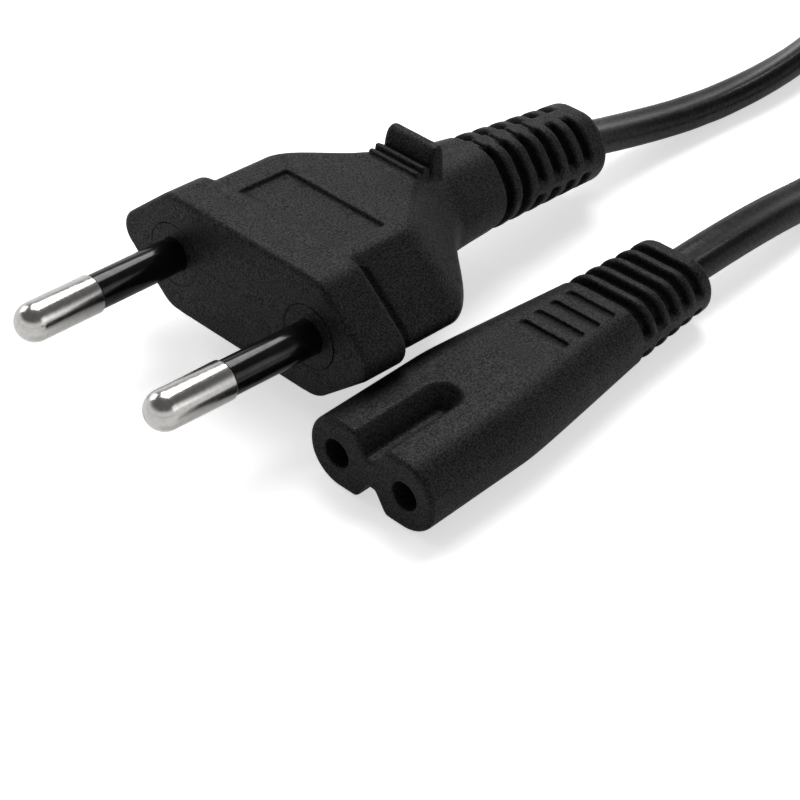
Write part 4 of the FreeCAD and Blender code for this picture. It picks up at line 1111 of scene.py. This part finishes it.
class MAINS_LEAD_OT_tie(LeadOperator):
    """Wrap the tie round the coil"""

    bl_idname = "mains_lead.tie"
    bl_label = "Tie"

    def execute(self, context):
        s = sizes_of(context.scene.lead_cord)
        # the small turns added below keep every sine and cosine away from zero
        # the band's loop: a rectangle with round corners, seen along the cord
        side_gap, drawn_down = 0.2, 0.1
        half_run = 2 * s.turn_spacing + side_gap + s.tie_wall / 2
        half_rise = s.layer_spacing + s.tie_wall / 2 - drawn_down
        radius = 1.2
        turn = np.linspace(0.0, 2 * np.pi, 96, endpoint=False) + 0.01
        out = np.stack([np.cos(turn), np.sin(turn)], 1)
        loop = out * radius + np.sign(out) * np.array([half_run - radius, half_rise - radius])
        # the band's section: a flat strip with a wire under its middle
        half_width = s.tie_width / 2
        edge = np.linspace(0.0, 2 * np.pi, 40, endpoint=False) + 0.02
        strip = np.stack([
            half_width * np.sign(np.cos(edge)) * np.abs(np.cos(edge)) ** 0.35,
            s.tie_wall / 2 * np.sign(np.sin(edge)) * np.abs(np.sin(edge)) ** 0.6], 1)
        at_edge, wire_reach = 0.55, 0.6
        thin = at_edge + 0.45 * np.exp(-(strip[:, 0] / wire_reach) ** 2)
        strip[:, 1] *= thin
        points = np.empty((len(loop), len(strip), 3))
        points[:, :, 0] = strip[None, :, 0]
        points[:, :, 1] = loop[:, None, 0] + out[:, None, 0] * strip[None, :, 1]
        points[:, :, 2] = loop[:, None, 1] + out[:, None, 1] * strip[None, :, 1]
        middle_height = half_rise + s.tie_wall / 2
        points = points.reshape(-1, 3) + np.array([
            s.coil_x, s.coil_y + s.coil_radius, middle_height])
        faces = grid_faces(len(loop), len(strip), rows_close=True)
        plastic = surface_material(
            "tie_plastic", context.scene.lead_finish.tie, 0.45, grain=1800.0, depth=0.00002,
            patches=300.0, contrast=0.12)
        piece = add_piece("coil_tie", points, faces, plastic)
        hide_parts("cord_tie")
        return {"FINISHED"}


class MAINS_LEAD_OT_inner_parts(LeadOperator):
    """Give the parts inside both ends their finishes"""

    bl_idname = "mains_lead.inner_parts"
    bl_label = "Inner parts"

    def execute(self, context):
        finish = context.scene.lead_finish
        hard = surface_material("insert_plastic", finish.insert, 0.42, grain=2200.0,
                                depth=0.00002, contrast=0.15)
        bridge = moulding_material("bridge_plastic", finish.moulding)
        brass = surface_material("contact_brass", finish.brass, 0.28, grain=3000.0,
                                 depth=0.00001, contrast=0.1, metallic=1.0)
        copper = surface_material("strand_copper", finish.copper, 0.32, grain=3500.0,
                                  depth=0.00005, relief=0.7, contrast=0.2, metallic=1.0,
                                  streaks=(1.0, 0.1, 1.0))
        brown = surface_material("insulation_brown", finish.brown, 0.4,
                                 depth=0.00001, contrast=0.1)
        blue = surface_material("insulation_blue", finish.blue, 0.4,
                                depth=0.00001, contrast=0.1)
        jacket = surface_material("jacket_end", finish.jacket, 0.36, grain=1500.0,
                                  depth=0.00002, relief=0.25, contrast=0.08)
        finishes = {
            "contact_carrier_upper": hard, "contact_carrier_lower": hard,
            "contact_left": brass, "contact_right": brass,
            "connector_core_left": brown, "connector_core_right": blue,
            "connector_strands_left": copper, "connector_strands_right": copper,
            "connector_jacket_end": jacket, "pin_bridge": bridge,
            "plug_core_left": brown, "plug_core_right": blue,
            "plug_strands_left": copper, "plug_strands_right": copper,
            "plug_jacket_end": jacket}
        for name, material in finishes.items():
            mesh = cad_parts[name].data
            mesh.materials.clear()
            mesh.materials.append(material)
        return {"FINISHED"}


class MAINS_LEAD_OT_declare_cord(LeadOperator):
    """Gather the pieces that sit on the cord, then drop the cord's stored path"""

    bl_idname = "mains_lead.declare_cord"
    bl_label = "Cord facts"

    def execute(self, context):
        scene = context.scene
        nodes = ("pin_bridge", "plug_core_left", "plug_core_right", "plug_strands_left",
                 "plug_strands_right", "plug_jacket_end")
        pieces = ("plug_moulding", "plug_pin_left", "plug_pin_right", "plug_sleeve_left",
                  "plug_sleeve_right", "coil_tie")
        on_cord = [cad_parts[name] for name in nodes]
        on_cord += [bpy.data.objects[name] for name in pieces]
        del scene["lead_cord_path"]
        return {"FINISHED"}


class MAINS_LEAD_OT_stage(LeadOperator):
    """Lay the pale floor and hang the soft lights"""

    bl_idname = "mains_lead.stage"
    bl_label = "Stage"

    def execute(self, context):
        stage = context.scene.lead_stage
        half = stage.floor_size / 2
        below = -0.0001
        mesh = bpy.data.meshes.new("floor")
        mesh.from_pydata([(-half, -half, below), (half, -half, below), (half, half, below),
                          (-half, half, below)], [], [(0, 1, 2, 3)])
        floor = bpy.data.objects.new("floor", mesh)
        context.scene.collection.objects.link(floor)
        mesh.materials.append(self.pale_floor())
        floor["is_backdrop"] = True
        self.light_world(context, stage.world_level)
        for name, place, size, power in (
                ("overhead", (-0.30, 0.36, 0.72), 0.5, 5.8),
                ("left", (-0.75, -0.10, 0.50), 0.4, 1.8),
                ("right", (0.75, 0.30, 0.40), 0.4, 0.5)):
            self.soft_light(context, name, place, size, power)
        context.scene.view_settings.view_transform = "Standard"
        return {"FINISHED"}

    def pale_floor(self):
        """White to the camera and in reflections, save for the object's faint shadow."""
        material, nodes, links, shader = new_material("pale_floor")
        where = nodes.new("ShaderNodeTexCoord").outputs["Object"]
        tone = ranged(nodes, links, noise(nodes, links, where, 3.0), 0.985, 1.0)
        links.new(shaded(nodes, links, tone, (0.9, 0.9, 0.9)), shader.inputs["Base Color"])
        shader.inputs["Roughness"].default_value = 0.9
        shader.inputs["Specular IOR Level"].default_value = 0.0
        glow = nodes.new("ShaderNodeEmission")
        camera, seen = self.seen_rays(nodes, links)
        direct, reflected = 0.4, 0.2
        level = calculated(
            nodes, links, "ADD", calculated(nodes, links, "MULTIPLY", camera, direct),
            calculated(nodes, links, "MULTIPLY", seen, reflected))
        links.new(level, glow.inputs["Strength"])
        both = nodes.new("ShaderNodeAddShader")
        links.new(shader.outputs[0], both.inputs[0])
        links.new(glow.outputs[0], both.inputs[1])
        links.new(both.outputs[0], nodes["Material Output"].inputs["Surface"])
        return material

    def seen_rays(self, nodes, links):
        """1 for the camera's rays, and 1 for all that show a surface to the eye: direct,
        mirrored or through glass."""
        path = nodes.new("ShaderNodeLightPath")
        seen = calculated(nodes, links, "MAXIMUM", path.outputs["Is Camera Ray"],
                          path.outputs["Is Glossy Ray"])
        seen = calculated(nodes, links, "MAXIMUM", seen, path.outputs["Is Transmission Ray"])
        return path.outputs["Is Camera Ray"], seen

    def light_world(self, context, level):
        """An even grey light all round, seen as a backdrop that is white to well over the
        horizon and darkens overhead."""
        world = bpy.data.worlds.new("studio")
        world.use_nodes = True
        nodes, links = world.node_tree.nodes, world.node_tree.links
        light = nodes["Background"]
        light.inputs["Color"].default_value = (1.0, 1.0, 1.0, 1.0)
        light.inputs["Strength"].default_value = level
        seen = nodes.new("ShaderNodeBackground")
        seen.inputs["Color"].default_value = (1.0, 1.0, 1.0, 1.0)
        where = nodes.new("ShaderNodeTexCoord").outputs["Generated"]
        parts = nodes.new("ShaderNodeSeparateXYZ")
        links.new(where, parts.inputs[0])
        backdrop = ranged(nodes, links, parts.outputs["Z"], 1.0, 0.15, 0.3, 0.55)
        links.new(backdrop, seen.inputs["Strength"])
        mix = nodes.new("ShaderNodeMixShader")
        links.new(self.seen_rays(nodes, links)[1], mix.inputs[0])
        links.new(light.outputs[0], mix.inputs[1])
        links.new(seen.outputs[0], mix.inputs[2])
        links.new(mix.outputs[0], nodes["World Output"].inputs["Surface"])
        context.scene.world = world

    def soft_light(self, context, name, place, size, power):
        """A square soft light that faces the lead."""
        lamp = bpy.data.lights.new(name, "AREA")
        lamp.shape = "SQUARE"
        lamp.size = size
        lamp.energy = power
        holder = bpy.data.objects.new(name, lamp)
        context.scene.collection.objects.link(holder)
        holder.location = place
        aim = Vector((-0.01, 0.02, 0.0)) - Vector(place)
        holder.rotation_euler = aim.to_track_quat("-Z", "Y").to_euler()


OPERATORS = (
    MAINS_LEAD_OT_camera, MAINS_LEAD_OT_cord, MAINS_LEAD_OT_connector, MAINS_LEAD_OT_plug,
    MAINS_LEAD_OT_pins, MAINS_LEAD_OT_tie, MAINS_LEAD_OT_inner_parts,
    MAINS_LEAD_OT_declare_cord, MAINS_LEAD_OT_stage)


class MAINS_LEAD_PT_panel(bpy.types.Panel):
    """The lead's operators in the sidebar"""

    bl_idname = "MAINS_LEAD_PT_panel"
    bl_label = "Mains lead"
    bl_space_type = "VIEW_3D"
    bl_region_type = "UI"
    bl_category = "Mains lead"

    def draw(self, context):
        for operator in OPERATORS:
            self.layout.operator(operator.bl_idname)


def register():
    """Register the settings, the operators and the panel."""
    for name, group in SETTINGS:
        bpy.utils.register_class(group)
        setattr(bpy.types.Scene, name, bpy.props.PointerProperty(type=group))
    for operator in OPERATORS:
        bpy.utils.register_class(operator)
    bpy.utils.register_class(MAINS_LEAD_PT_panel)


def unregister():
    """Take everything back in the reverse order."""
    bpy.utils.unregister_class(MAINS_LEAD_PT_panel)
    for operator in reversed(OPERATORS):
        bpy.utils.unregister_class(operator)
    for name, group in reversed(SETTINGS):
        delattr(bpy.types.Scene, name)
        bpy.utils.unregister_class(group)


def plain(value):
    """Numbers and rows of numbers as plain lists."""
    if isinstance(value, dict):
        return {str(key): plain(item) for key, item in value.items()}
    if hasattr(value, "__len__") and not isinstance(value, str):
        return [plain(item) for item in value]
    return float(value) if isinstance(value, (int, float, np.floating)) else value


def main():
    """Build the lead and its stage."""
    register()
    bpy.ops.mains_lead.camera()
    bpy.ops.mains_lead.cord()
    bpy.ops.mains_lead.connector()
    bpy.ops.mains_lead.plug()
    bpy.ops.mains_lead.pins()
    bpy.ops.mains_lead.tie()
    bpy.ops.mains_lead.inner_parts()
    bpy.ops.mains_lead.declare_cord()
    bpy.ops.mains_lead.stage()
    {"at_load": plain(bounds_at_load), "at_finish": plain(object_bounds())}


if __name__ == "__main__":
    main()
